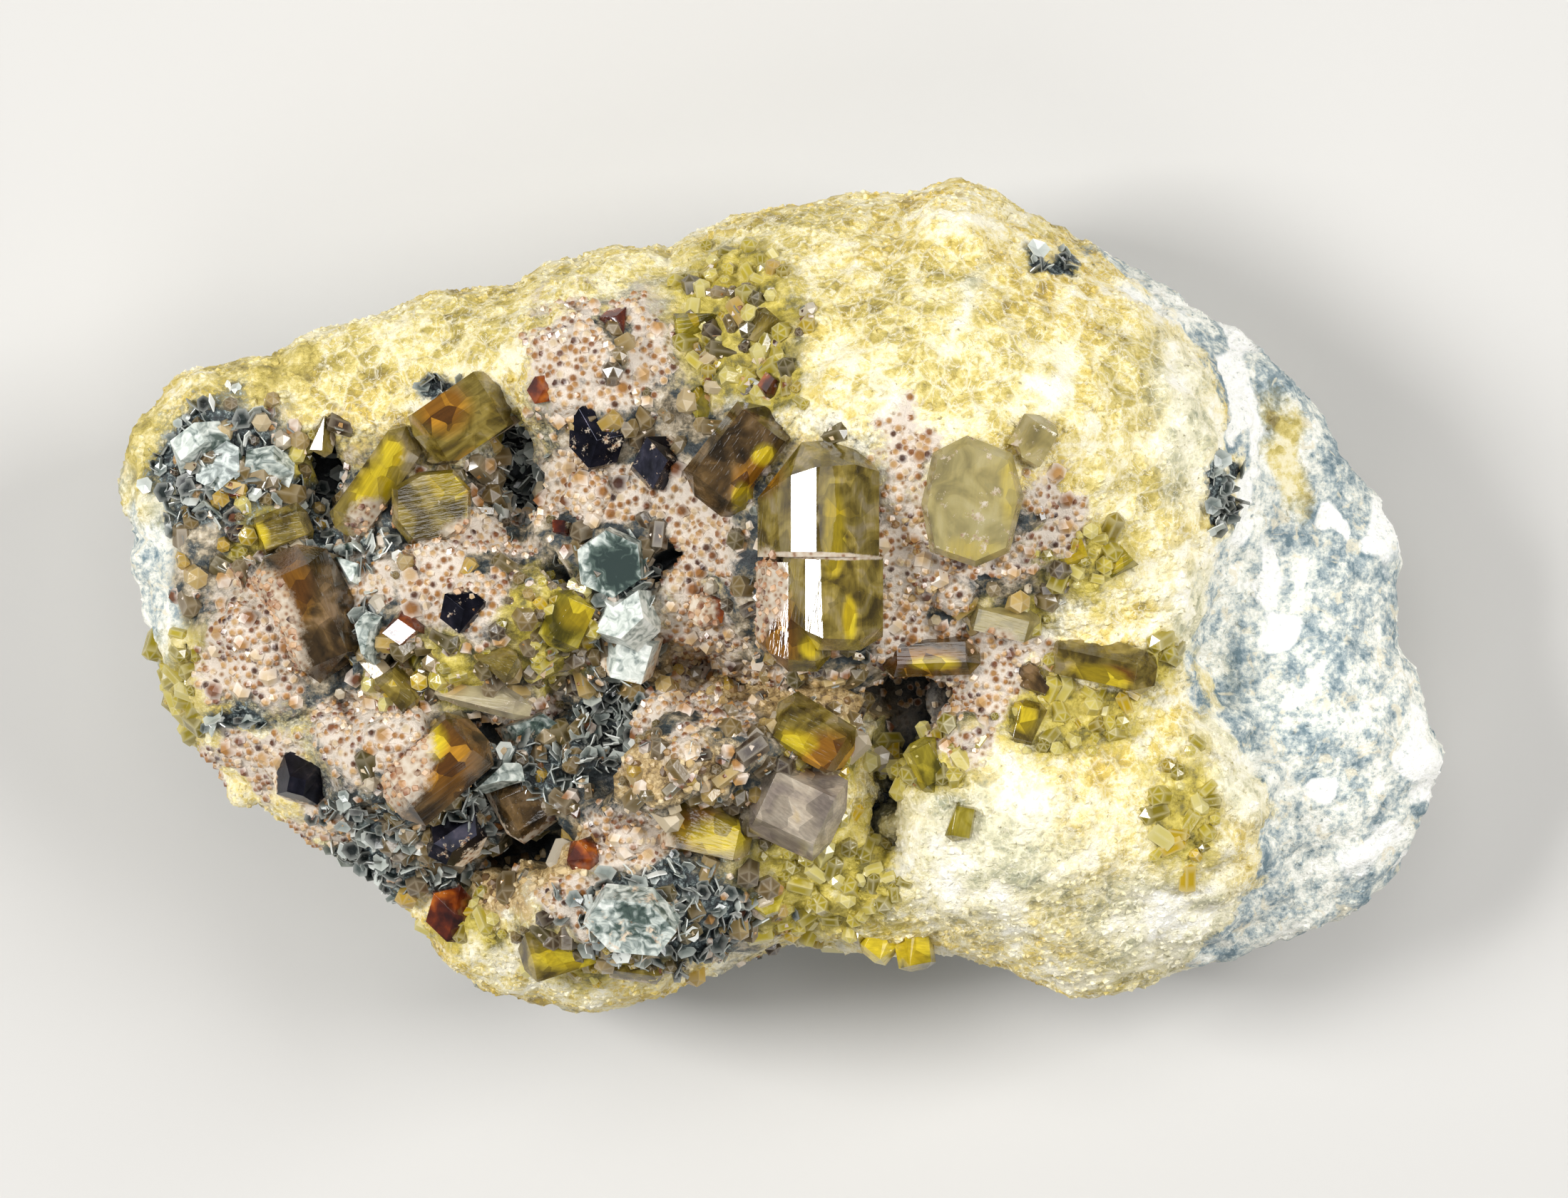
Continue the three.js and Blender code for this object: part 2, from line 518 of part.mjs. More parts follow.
    name: "epidote_yellow_right_upper", colour: "yellowEpidote", kind: "prism",
    size: [1.4, 1.3, 1.0], at: [10.9, 1.6], lift: 0.21, turn: 20,
  },
  {
    name: "epidote_yellow_right_lower", colour: "yellowEpidote", kind: "prism",
    size: [1.5, 1.2, 1.0], at: [12.6, 1.2], lift: 0.21, turn: 40,
  },
  {
    name: "epidote_green_top", colour: "epidote", kind: "prism",
    size: [1.6, 1.3, 1.1], at: [-0.7, 10.0], lift: 0.27, turn: 70,
  },
  {
    name: "epidote_yellow_above_main", colour: "yellowEpidote", kind: "prism",
    size: [1.6, 1.3, 1.1], at: [-3.2, 7.2], lift: 0.3, turn: -60,
  },
  {
    name: "epidote_yellow_top", colour: "yellowEpidote", kind: "prism",
    size: [2.0, 1.1, 1.0], at: [-3.3, 10.2], lift: 0.3, turn: 8,
  },
  {
    name: "epidote_glint_left", colour: "epidote", kind: "prism",
    size: [1.8, 0.9, 0.9], at: [-17.5, 6.1], lift: 0.42, turn: 86, roll: -22,
  },
  {
    name: "magnetite_hexagon", colour: "magnetite", kind: "garnet",
    size: [2.4], at: [-7.0, 5.8], lift: 0.3, turn: 12, tip: 35.3, roll: 45,
  },
  {
    name: "magnetite_box", colour: "magnetite", kind: "garnet",
    size: [2.5], at: [-4.8, 4.9], lift: 0.36, turn: 8, tip: 12, roll: 40,
  },
  {
    name: "magnetite_middle", colour: "magnetite", kind: "garnet",
    size: [2.0], at: [-12.1, -0.6], lift: 0.3, turn: 20, tip: 30, roll: 45,
  },
  {
    name: "magnetite_lower_left", colour: "magnetite", kind: "magnetite",
    size: [2.3], at: [-18.2, -6.9], lift: 0.36, turn: 30, tip: 20, roll: 10,
  },
  {
    name: "magnetite_groove", colour: "magnetite", kind: "magnetite",
    size: [2.7], at: [-12.6, -9.0], lift: 0.24, turn: 10, tip: 30, roll: 35,
  },
  {
    name: "garnet_brown_left", colour: "garnet", kind: "garnet",
    size: [1.6], at: [-20.5, 0.6], lift: 0.24, turn: 10, tip: 35, roll: 45,
  },
  {
    name: "garnet_orange_left", colour: "garnet", kind: "garnet",
    size: [1.1], at: [-20.8, 3.9], lift: 0.21, turn: 30, tip: 20,
  },
  {
    name: "garnet_glint_middle", colour: "garnet", kind: "garnet",
    size: [1.8], at: [-14.2, -1.4], lift: 0.3, turn: 4, tip: -22,
  },
  {
    name: "garnet_lower_rim", colour: "garnet", kind: "garnet",
    size: [2.4], at: [-12.6, -12.2], lift: 0.48, turn: 15, tip: 30, roll: 45,
  },
  {
    name: "garnet_brown_lower", colour: "garnet", kind: "garnet",
    size: [1.8], at: [-7.5, -10.0], lift: 0.24, turn: 5, tip: 15, roll: 45,
  },
  {
    name: "garnet_by_main", colour: "garnet", kind: "garnet",
    size: [1.7], at: [-2.8, -0.6], lift: 0.3, turn: 25, tip: 40, roll: 30,
  },
  {
    name: "garnet_top", colour: "garnet", kind: "garnet",
    size: [1.4], at: [-6.3, 10.2], lift: 0.21, turn: 60, tip: 10, roll: 30,
  },
  {
    name: "garnet_upper_left", colour: "garnet", kind: "garnet",
    size: [1.3], at: [-9.1, 7.7], lift: 0.21, turn: 0, tip: 30, roll: 45,
  },
  {
    name: "garnet_purple_top", colour: "garnet", kind: "garnet",
    size: [1.3], at: [-0.4, 7.7], lift: 0.24, turn: 20, tip: 20,
  },
  {
    name: "garnet_orange_middle", colour: "garnet", kind: "garnet",
    size: [1.1], at: [-8.3, 2.4], lift: 0.24, turn: 45, tip: 0, roll: 10,
  },
  {
    name: "chlorite_green_disc", colour: "chlorite", kind: "chlorite",
    size: [2.7, 2.6, 1.3], plates: 2, fan: 14, at: [-6.4, 1.3], lift: 0.54, turn: 20, tip: 12,
  },
  {
    name: "chlorite_pale_book", colour: "chlorite", kind: "chlorite",
    size: [2.5, 2.3, 2.6], plates: 2, fan: 60, at: [-5.6, -1.2], lift: 0.36, turn: -30, tip: 30, roll: -35,
  },
  {
    name: "chlorite_roundel", colour: "chlorite", kind: "chlorite",
    size: [2.1, 2.0, 1.1], plates: 2, fan: 20, at: [-9.4, -5.4], lift: 0.54, turn: 10, tip: -12,
  },
  {
    name: "chlorite_dish", colour: "chlorite", kind: "chlorite",
    size: [2.5, 1.6, 1.2], plates: 2, fan: 40, at: [-11.1, -6.6], lift: 0.36, turn: 12, roll: 50,
  },
  {
    name: "chlorite_curl", colour: "chlorite", kind: "chlorite",
    size: [1.9, 1.8, 1.4], plates: 2, fan: 50, at: [-16.0, -1.5], lift: 0.42, turn: 70, roll: 30,
  },
  {
    name: "chlorite_curl_upper", colour: "chlorite", kind: "chlorite",
    size: [1.8, 1.5, 1.2], plates: 2, fan: 45, at: [-16.3, 1.2], lift: 0.36, turn: -20, roll: 55,
  },
  {
    name: "chlorite_flakes_left", colour: "chlorite", kind: "chlorite",
    size: [2.4, 2.2, 1.6], plates: 2, fan: 40, at: [-22.4, 6.0], lift: 0.42, turn: 30, roll: 40,
    grownWith: [
      {
        kind: "chlorite",
        size: [2.2, 2.0, 1.4], plates: 2, fan: 40, at: [-21.2, 4.9], lift: -0.1, turn: 80, roll: -35,
      },
      {
        kind: "chlorite",
        size: [2.2, 2.0, 1.3], plates: 2, fan: 30, at: [-19.6, 5.0], lift: 0, turn: 0, roll: 25,
      },
      {
        kind: "chlorite",
        size: [2.0, 1.8, 1.2], plates: 2, fan: 36, at: [-22.0, 3.2], lift: -0.2, turn: 130, roll: 40,
      },
    ],
  },
  {
    name: "chlorite_grey_green_rim", colour: "chlorite", kind: "chlorite",
    size: [3.6, 2.6, 1.9], plates: 2, fan: 24, at: [-5.6, -11.9], lift: 0.42, turn: -14, roll: 18,
    grownWith: [
      {
        kind: "chlorite",
        size: [2.7, 2.4, 1.8], plates: 2, fan: 26, at: [-2.9, -11.1], lift: 0.06, turn: 66, roll: 24,
      },
    ],
  },
];

// Small garnets fused to the rock in its sugary patches, clear of the named crystals.
function sugarGrains(grow) {
  const random = randomSource(2);
  const grains = [];
  for (const { at, reach, turn, grains: count } of SUGAR_PATCHES) {
    for (let made = 0, tries = 0; made < count && tries < SUGAR_TRIES; tries += 1) {
      const spin = random() * 2 * Math.PI;
      const out = Math.sqrt(random());
      const angle = radians(turn);
      const u = reach[0] * out * Math.cos(spin);
      const v = reach[1] * out * Math.sin(spin);
      const x = at[0] + u * Math.cos(angle) - v * Math.sin(angle);
      const y = at[1] + u * Math.sin(angle) + v * Math.cos(angle);
      const radius = SUGAR_GRAIN * (0.8 + 0.4 * random());
      const near = ({ at: middle, clear = middle, size: [across] }) =>
        Math.hypot(clear[0] - x, clear[1] - y) < radius + across * 0.5;
      if (CRYSTALS.some((crystal) => [crystal, ...(crystal.grownWith ?? [])].some(near))) continue;
      const grain = dodecahedron(radius + grow)
        .rotateX(random() * Math.PI)
        .rotateZ(random() * Math.PI)
        .translate(x, y, faceHeight(x, y) + radius * 0.1);
      grains.push(toSolid(grain));
      made += 1;
    }
  }
  return grains;
}

// The rock with its sugary grains, made larger on every side by grow.
function rockSolid(grow) {
  const ball = new THREE.IcosahedronGeometry(1, ROCK_DETAIL);
  const position = ball.getAttribute("position");
  for (let i = 0; i < position.count; i += 1) {
    const point = rockPoint(new THREE.Vector3().fromBufferAttribute(position, i).normalize(), grow);
    position.setXYZ(i, point.x, point.y, point.z);
  }
  return joined([toSolid(ball), ...sugarGrains(grow)]);
}

function namedMesh(name, solid, colour) {
  const mesh = new THREE.Mesh(toGeometry(solid), new THREE.MeshStandardMaterial(COLOURS[colour]));
  mesh.name = name;
  return mesh;
}

const specimen = new THREE.Group();
specimen.add(namedMesh("rock", rockSolid(0), "rock"));

const grownRock = rockSolid(GAP);
const grownCrystals = [];
for (const crystal of CRYSTALS) {
  const free = grownCrystals.reduce((solid, other) => solid.subtract(other), crystalSolid(crystal, 0));
  specimen.add(namedMesh(crystal.name, largestBody(free.subtract(grownRock)), crystal.colour));
  grownCrystals.push(crystalSolid(crystal, GAP));
}

export default specimen;
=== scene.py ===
"""Dresses a lump of rock that carries epidote, magnetite, garnet and chlorite crystals.

It is laid out as an add-on, and runs as a script: the operators make the rock, its grains, its crystals and
the stage in turn. Lengths in the tables are millimetres in the frame's own axes.
"""

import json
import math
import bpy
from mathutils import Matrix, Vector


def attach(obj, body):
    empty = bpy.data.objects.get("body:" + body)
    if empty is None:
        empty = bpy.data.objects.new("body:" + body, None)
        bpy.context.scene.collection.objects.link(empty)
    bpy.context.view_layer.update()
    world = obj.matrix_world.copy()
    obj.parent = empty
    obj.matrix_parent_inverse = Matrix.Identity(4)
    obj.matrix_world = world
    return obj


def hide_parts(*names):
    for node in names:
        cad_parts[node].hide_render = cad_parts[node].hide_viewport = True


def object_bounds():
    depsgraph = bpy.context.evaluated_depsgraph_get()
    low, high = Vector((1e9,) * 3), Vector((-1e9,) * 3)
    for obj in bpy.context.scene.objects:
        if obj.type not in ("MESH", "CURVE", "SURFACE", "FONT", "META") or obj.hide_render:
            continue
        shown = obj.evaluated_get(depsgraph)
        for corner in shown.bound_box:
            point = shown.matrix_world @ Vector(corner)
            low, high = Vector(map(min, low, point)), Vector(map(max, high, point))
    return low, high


bl_info = {
    "name": "Epidote and magnetite specimen",
    "version": (1, 0, 0),
    "blender": (4, 5, 0),
    "location": "3D View > Sidebar > Specimen",
    "description": "Makes the surfaces, grains, crystals and stage of a mineral specimen",
    "category": "Object",
}

from functools import partial

import bmesh
import bpy
import numpy as np
from mathutils import Vector, noise
from mathutils.bvhtree import BVHTree

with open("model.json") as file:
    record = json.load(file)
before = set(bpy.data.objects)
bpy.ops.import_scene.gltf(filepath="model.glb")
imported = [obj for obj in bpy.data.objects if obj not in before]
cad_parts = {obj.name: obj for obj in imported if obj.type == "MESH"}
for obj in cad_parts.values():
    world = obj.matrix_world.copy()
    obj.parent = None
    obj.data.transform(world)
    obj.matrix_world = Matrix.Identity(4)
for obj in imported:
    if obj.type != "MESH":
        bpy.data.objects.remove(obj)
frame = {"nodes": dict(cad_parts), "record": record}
CAD_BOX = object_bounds()

MM = 0.001
BODY = "root"
SEED = 7
TINT_SEED = 31
SCATTER = "strewn_grains"

# The photograph's frame, and where the middle of the lump lies in it.
PHOTO_WIDTH, PHOTO_HEIGHT = 2199, 1680
PHOTO_MIDDLE = (1098.0, 833.5)
PIXELS_PER_MM = 36.68

# Where the yellow crust ends and the grey rock begins, from the top edge down.
CRUST_EDGE = [
    (9.2, 15.7), (12.2, 12.2), (15.3, 9.9), (16.6, 7.0), (16.9, 3.6), (15.6, 0.2),
    (15.1, -2.6), (16.6, -5.2), (18.3, -7.6), (17.8, -10.6), (14.4, -15.7),
]

# Patches of each mineral on the crystal face: middle x and y, half width and height, and turn in degrees.
PATCHES = {
    # Where crystals crowd together: the ground between them is mottled dark, its darkest tones painted
    # shade.
    "crowd": [
        (-17.0, 0.2, 7.0, 5.6, -8), (-9.0, 1.0, 6.5, 5.6), (-5.4, 6.6, 3.8, 4.4), (-5.0, -6.2, 6.6, 5.4),
        (1.4, 0.0, 4.6, 5.6), (6.4, -0.4, 2.4, 4.6), (-13.0, -7.0, 5.6, 3.8, -30), (9.2, 1.4, 2.0, 2.6),
        (-4.6, -12.2, 5.0, 1.6, 5), (5.2, -4.8, 2.2, 2.4), (-1.6, 9.4, 2.6, 2.6), (-20.6, 4.4, 3.0, 3.0),
    ],
    # Pinkish crust of tiny garnets.
    "sugar": [
        (-6.9, 9.1, 2.7, 2.2), (-6.2, 4.2, 2.6, 1.7), (-2.9, 2.1, 1.5, 2.6), (-3.0, -1.2, 1.5, 1.6),
        (4.8, -0.3, 1.9, 4.4), (4.6, 5.4, 1.0, 1.8), (10.2, 3.2, 1.4, 1.8), (8.4, -2.1, 1.9, 1.4),
        (6.9, -4.2, 1.5, 2.1), (-20.0, -1.9, 2.2, 2.1), (-15.5, 0.5, 1.1, 1.2), (-11.6, 2.0, 2.5, 1.1),
        (-12.2, 0.1, 2.1, 1.4), (-15.5, -5.4, 2.3, 1.7, -30), (-20.0, -6.3, 1.6, 1.4),
        (-17.3, -8.5, 1.2, 1.0), (-4.0, -5.2, 2.9, 1.2, 10), (-5.9, -9.3, 1.5, 1.6),
        (-7.4, -11.6, 1.5, 0.9), (-9.2, 2.9, 1.3, 0.9), (-1.0, -3.0, 1.6, 0.8), (-9.6, -4.6, 1.4, 0.9, 20),
        (7.2, 1.4, 2.2, 1.0),
    ],
    "tan": [
        (-3.0, -3.1, 2.6, 1.2, -12), (1.0, -4.2, 2.6, 1.0), (-8.2, -10.0, 1.9, 0.9, 30),
        (-10.6, -11.2, 1.7, 1.1, 30), (-4.4, -6.6, 2.4, 0.8, 8), (5.0, 1.6, 1.2, 2.2),
    ],
    # Flaky chlorite.
    "mica": [
        (-21.2, 4.9, 2.5, 2.4), (-17.9, 3.0, 0.9, 1.6), (-16.0, 1.6, 1.8, 0.9), (-15.9, -1.2, 0.9, 1.2),
        (-6.0, -1.0, 1.2, 2.6, -10), (-6.6, -4.4, 1.0, 2.4, -20), (-14.7, -9.4, 3.2, 1.4, -35),
        (-10.2, 4.6, 1.1, 2.0), (-4.4, -11.9, 3.2, 1.6, 5), (-10.6, -7.2, 2.8, 1.5, 15),
        (-20.6, -4.6, 1.0, 0.6), (10.0, 12.2, 1.1, 0.45, -20), (16.4, 3.9, 0.3, 1.3, 5),
        (-13.0, 7.6, 0.7, 0.5),
    ],
    # Yellow-green grains.
    "grainy": [
        (-1.8, 10.2, 2.6, 2.8), (-0.6, 7.6, 2.0, 1.0), (11.2, 1.4, 1.9, 1.3), (8.6, -0.6, 1.6, 0.6),
        (10.6, -4.6, 3.3, 1.6), (5.2, -6.3, 1.8, 1.4), (1.6, -10.6, 3.3, 2.2), (15.0, -8.3, 1.4, 2.4),
        (-12.8, -2.9, 1.9, 1.4), (-8.8, -1.2, 1.9, 1.9), (-22.7, -3.7, 0.8, 2.2), (-19.4, 2.2, 1.6, 1.3),
        (-18.6, 5.4, 1.0, 0.9), (-11.8, -12.6, 1.5, 0.8), (-7.2, -13.6, 2.4, 1.0), (1.2, -6.4, 1.4, 1.4),
        (14.0, -2.6, 1.0, 1.0), (-11.0, 6.2, 1.2, 0.9), (-14.6, -3.9, 1.2, 0.8),
    ],
    # Olive stain on the crust.
    "mossy": [
        (5.4, 10.2, 3.2, 3.0), (8.8, 7.8, 2.4, 2.4), (-14.3, 9.3, 7.4, 1.7, 11), (-6.0, 11.9, 3.6, 1.2, 8),
        (0.4, 13.3, 3.4, 1.0, 12), (9.9, -10.5, 2.0, 1.6), (19.0, 5.3, 0.75, 2.2, 12),
        (-23.9, 5.2, 1.0, 2.2), (12.9, 8.0, 1.4, 2.4), (13.0, -14.0, 2.2, 1.0), (-0.6, 11.0, 4.0, 2.2),
        (14.9, -8.2, 1.7, 2.8), (9.6, 14.6, 2.2, 0.8, -30), (-22.4, -4.0, 1.0, 2.6), (11.6, 1.2, 2.6, 1.8),
        (3.4, -9.6, 4.4, 2.6), (5.2, 8.2, 3.0, 2.0), (12.8, 4.2, 2.2, 2.4),
    ],
    # Whiter crust towards the grey rock.
    "frosty": [
        (7.6, -9.6, 3.4, 2.8), (14.4, -12.0, 3.2, 2.2), (15.6, -0.8, 1.6, 2.6), (15.0, 6.6, 1.2, 3.4, 5),
        (4.3, 5.6, 0.5, 1.6, 10), (17.0, -6.4, 1.3, 2.6, 20), (6.9, 10.6, 0.3, 1.9, -22),
        (-3.4, 6.4, 1.6, 1.2), (9.9, 7.6, 0.7, 0.7),
    ],
    # Chalk-white streaks in the grey rock.
    "white": [
        (17.3, 7.4, 0.55, 2.8, 8), (17.2, 3.4, 0.45, 1.6, -5), (18.4, 0.6, 0.6, 1.5), (22.8, 2.4, 0.8, 1.2),
        (16.6, -5.8, 0.35, 1.9, 30), (24.1, -6.2, 0.6, 2.0, 15), (22.4, -9.4, 1.2, 0.6, 35),
        (18.8, -1.6, 0.8, 0.6), (14.8, 9.6, 0.5, 1.0, 30), (20.4, -7.4, 0.7, 0.5),
        (20.8, 3.0, 0.4, 0.9, 20),
    ],
    # Hollows: sunk deeper into the rock, with near-black painted shade in them.
    "hollow": [
        (-17.4, 4.2, 0.7, 1.7), (-10.0, 4.9, 0.9, 1.8, 10), (4.9, -3.7, 1.5, 0.8), (4.6, -5.2, 0.8, 1.2),
        (3.9, -8.0, 0.45, 1.6, -10), (-6.4, -5.2, 0.8, 1.3), (-7.2, -7.0, 0.9, 0.8),
        (-9.7, -9.8, 1.8, 0.7, 25), (-11.2, -5.2, 0.8, 0.5), (-14.2, -2.6, 0.9, 0.5, 30),
        (-8.4, 0.8, 0.6, 0.5), (-4.6, 0.9, 0.5, 1.0), (-16.6, -2.2, 0.6, 0.9), (-3.6, -8.0, 0.6, 0.4),
        (-11.0, -7.6, 1.0, 0.6),
    ],
    "pale": [
        (-24.5, 0.2, 1.6, 5.0), (-23.4, -1.0, 0.7, 3.4, 8),
    ],
}

# Patches on the crystals: painted light where light would come back out yellow, amber that is partly the
# crystals' own colour and partly painted light, and where tiny garnets coat them.
LIT_PATCHES = {
    # Painted light: yellow where light would come back out of a crystal.
    "glow": [
        (-15.5, 4.0, 0.65, 1.1, -30), (-14.8, 5.3, 0.4, 0.6), (-12.6, 4.2, 0.7, 0.6),
        (-11.2, 5.4, 0.4, 0.4), (1.9, 2.3, 0.4, 1.6), (1.0, -2.0, 0.4, 0.4), (2.5, -0.9, 0.25, 0.8),
        (-0.7, 5.2, 0.45, 0.4), (-1.5, 3.5, 0.35, 0.6), (-13.3, -5.5, 0.6, 0.75, 20),
        (-2.5, -9.1, 1.3, 0.6), (0.3, -5.6, 0.9, 0.5), (4.2, -7.3, 0.9, 0.8), (12.0, -3.1, 1.0, 0.4, -15),
        (5.7, -2.6, 0.9, 0.25), (-8.0, -13.7, 1.4, 0.6), (3.6, -13.2, 0.8, 0.6), (4.9, -13.5, 0.7, 0.7),
        (10.9, 1.7, 0.6, 0.6), (12.4, 1.3, 0.5, 0.5), (9.1, -4.6, 0.5, 0.6), (-7.8, -0.8, 0.8, 0.6),
        (8.5, 4.2, 0.35, 1.6), (7.0, 1.7, 1.0, 0.5), (15.0, -7.9, 0.5, 0.7), (-20.0, 2.2, 0.5, 0.5),
        (3.0, -11.4, 0.8, 0.5),
    ],
    # Amber: partly the crystals' own colour, partly painted light where light would come back out.
    "amber": [
        (-12.9, 7.0, 1.0, 0.9), (-0.3, -1.6, 0.9, 1.5), (-12.9, -6.2, 1.3, 1.3, 20), (-3.2, -8.8, 0.9, 0.8),
        (-0.9, 4.4, 0.9, 0.7, 30), (5.0, -2.6, 1.4, 0.5), (-20.6, -2.2, 0.5, 0.6), (1.6, -6.0, 1.2, 0.8),
        (-11.6, 4.6, 0.8, 0.8), (-12.4, -3.2, 0.5, 0.6), (-11.4, -13.0, 0.7, 0.7),
        (12.6, -3.0, 0.7, 0.3, -10), (-18.6, 0.2, 0.8, 1.2), (-3.4, -2.6, 0.5, 0.5),
    ],
    "coat": [
        (-19.6, -1.2, 1.3, 2.6, 20), (-0.6, 0.3, 0.75, 1.25), (-0.9, -1.0, 0.35, 0.7),
        (-15.6, 2.8, 0.9, 0.8), (-14.6, -6.4, 1.3, 1.8, -20), (-12.4, 0.6, 1.0, 0.5),
        (-5.2, -9.6, 1.0, 0.9), (-4.2, -5.0, 2.4, 1.0, 10), (-3.2, -0.6, 0.7, 0.7), (-11.4, 2.4, 1.4, 0.5),
        (8.0, -1.8, 0.8, 0.5),
    ],
    # Where a bright face is dulled.
    "dull": [
        (1.62, 3.4, 0.34, 2.2), (0.06, 3.4, 0.26, 2.2),
    ],
    # A cream line where two crystals meet.
    "seam": [
        (1.5, 1.44, 2.4, 0.13, -2),
    ],
}

# How much of a crystal is powdered with fine grains, where it isn't the usual share.
USUAL_DUST = 0.2
DUST = {
    "epidote_main": 0.04, "epidote_dark_striated": 0.12, "epidote_table_right": 0.28,
    "epidote_grey_striated": 0.16, "epidote_brown_left": 0.18, "epidote_prism_right": 0.06,
    "epidote_rim_pair": 0.04, "epidote_stick": 0.26, "epidote_beside_table": 0.3,
    "magnetite_hexagon": 0.28, "magnetite_box": 0.3, "magnetite_lower_left": 0.22,
    "magnetite_middle": 0.26, "magnetite_groove": 0.3, "garnet_glint_middle": 0.1,
    "chlorite_grey_green_rim": 0.3,
}

# A crystal that carries finer marks has smaller triangles.
FACET_SHARE = {"epidote_main": 0.4}

# How dark a plate of chlorite is in its middle.
USUAL_MIDDLE = 0.25
MIDDLE = {"chlorite_green_disc": 0.65, "chlorite_roundel": 0.4, "chlorite_pale_book": 0.05}

# How much of a crystal's face is dulled to grey green.
HAZE = {
    "epidote_table_right": 0.6, "epidote_beside_table": 0.4, "epidote_stick": 0.4,
    "epidote_chunk_right": 0.4,
}

# Sizes of the textures in the rock, in the crystals and grains, and in the powder that lies on them.
BROAD, MEDIUM, FINE, CURL, CRUST_GRAIN, GARNET_CELL = 3.2, 0.85, 0.26, 1.0, 0.8, 0.3
BODY_CLOUD, INNER_FACET, STAIN, GARNET_CLOUD, WISP, GRAIN_GRIT = 1.2, 0.7, 0.5, 0.8, 0.45, 0.12
POWDER, POWDER_GRAIN, POWDER_HEIGHT = 0.7, 0.22, 0.5

# Usual softness of a painted mask's edge, and how strongly epidote takes up light.
MASK_EDGE = 0.16
EPIDOTE_DENSITY = 260.0

# The painted masks wander by so much over such a distance. The crust ends on the flanks about a level that
# drifts, fades out over a height, and is olive beyond a distance from the middle.
WANDER_REACH, WANDER_SIZE = 0.75, 1.1
CRUST_LEVEL, CRUST_DRIFT, CRUST_FADE = 4.4, 2.6, 2.0
DRIFT_SIZES = (5.0, 1.6)
GREY_FADE = 0.8
RIM_START = 17.5

# Gaps in the sugary crust: their size, how much of the crust stays and how softly they begin.
GAP_SIZE, GAP_LEVEL, GAP_FADE = 1.5, 0.42, 0.2

# Striae run along a crystal, so their texture is stretched along its first axis.
STRETCH = (0.06, 3.2, 3.2)

# The rock's tones: the texture that each follows, and its colours along it.
ROCK_FINISH = "massive_epidote_on_country_rock"
ROCK_RAMPS = {
    "crust": ("cloud", [
        (0.53, "#F8F1D8"), (0.585, "#F2E5B4"), (0.635, "#E6D180"), (0.69, "#D4B850"), (0.78, "#A88E3C"),
    ]),
    "mossy": ("cloud", [
        (0.53, "#F1E7C0"), (0.59, "#E2D28E"), (0.65, "#CCB964"), (0.72, "#AC9A48"), (0.8, "#82733A"),
    ]),
    "frosty": ("cloud", [
        (0.52, "#FBF8EC"), (0.59, "#F2ECD2"), (0.65, "#E0DAB8"), (0.71, "#C3BF9C"), (0.8, "#9A9C80"),
    ]),
    "grey": ("grey_cloud", [
        (0.55, "#FAF9F0"), (0.6, "#ECEBDE"), (0.645, "#CBD0C8"), (0.69, "#9FACAE"), (0.76, "#627A84"),
    ]),
    # Ground between crowded crystals: its darkest tones are painted shade.
    "crowd": ("medium", [
        (0.36, "#10191C"), (0.45, "#2C3638"), (0.52, "#736A56"), (0.6, "#B3A48A"), (0.7, "#E0D8C8"),
    ]),
    "grainy": ("medium", [(0.38, "#6E6420"), (0.48, "#AE9C34"), (0.58, "#D0BE58"), (0.7, "#EBDFA8")]),
    "chalk": ("fine", [(0.4, "#FDFCF8"), (0.58, "#F4F3EA"), (0.68, "#C9CFCC")]),
    "tan": ("fine", [(0.36, "#6E5634"), (0.5, "#AE925E"), (0.6, "#CCB282"), (0.7, "#E2D2AE")]),
    "mica": ("fine", [(0.42, "#10171A"), (0.52, "#333F41"), (0.6, "#7E8A88"), (0.7, "#D2D8D2")]),
    "sugar": ("cells", [(0.12, "#86603C"), (0.26, "#B39A7C"), (0.46, "#D3C6B6")]),
}

# Epidote by slot: its finish, the colours of its body, the share of inner facets painted bright yellow as
# light, how much light goes through and the colour of that light. Then its amber colours, partly painted
# light, and its painted yellow light where light would come back out.
EPIDOTES = {
    "epidote": (
        "olive_epidote", [(0.36, "#54461E"), (0.46, "#7A6828"), (0.56, "#9A8742"), (0.68, "#AC9B72")],
        0.04, 0.35, "#E0CA72",
    ),
    "epidote_brown": (
        "brown_epidote", [(0.36, "#2A2012"), (0.46, "#4A3820"), (0.56, "#6A5230"), (0.68, "#8E7352")],
        0.04, 0.3, "#BFA264",
    ),
    "epidote_grey": (
        "grey_epidote", [(0.36, "#867A70"), (0.46, "#938779"), (0.56, "#A39684"), (0.68, "#B0A492")],
        0.0, 0.15, "#D8D0B8",
    ),
    "epidote_yellow": (
        "yellow_epidote", [(0.36, "#5E5614"), (0.46, "#8E8022"), (0.56, "#B5A432"), (0.68, "#D2C46A")],
        0.1, 0.4, "#DCCB50",
    ),
}
AMBER_AND_PAINTED_LIGHT_RAMP = [(0.3, "#5E3A14"), (0.6, "#98661E"), (0.8, "#C88E2A")]
PAINTED_GLOW_RAMP = [(0.3, "#A08A1C"), (0.5, "#C9AC1C"), (0.75, "#EFD434")]
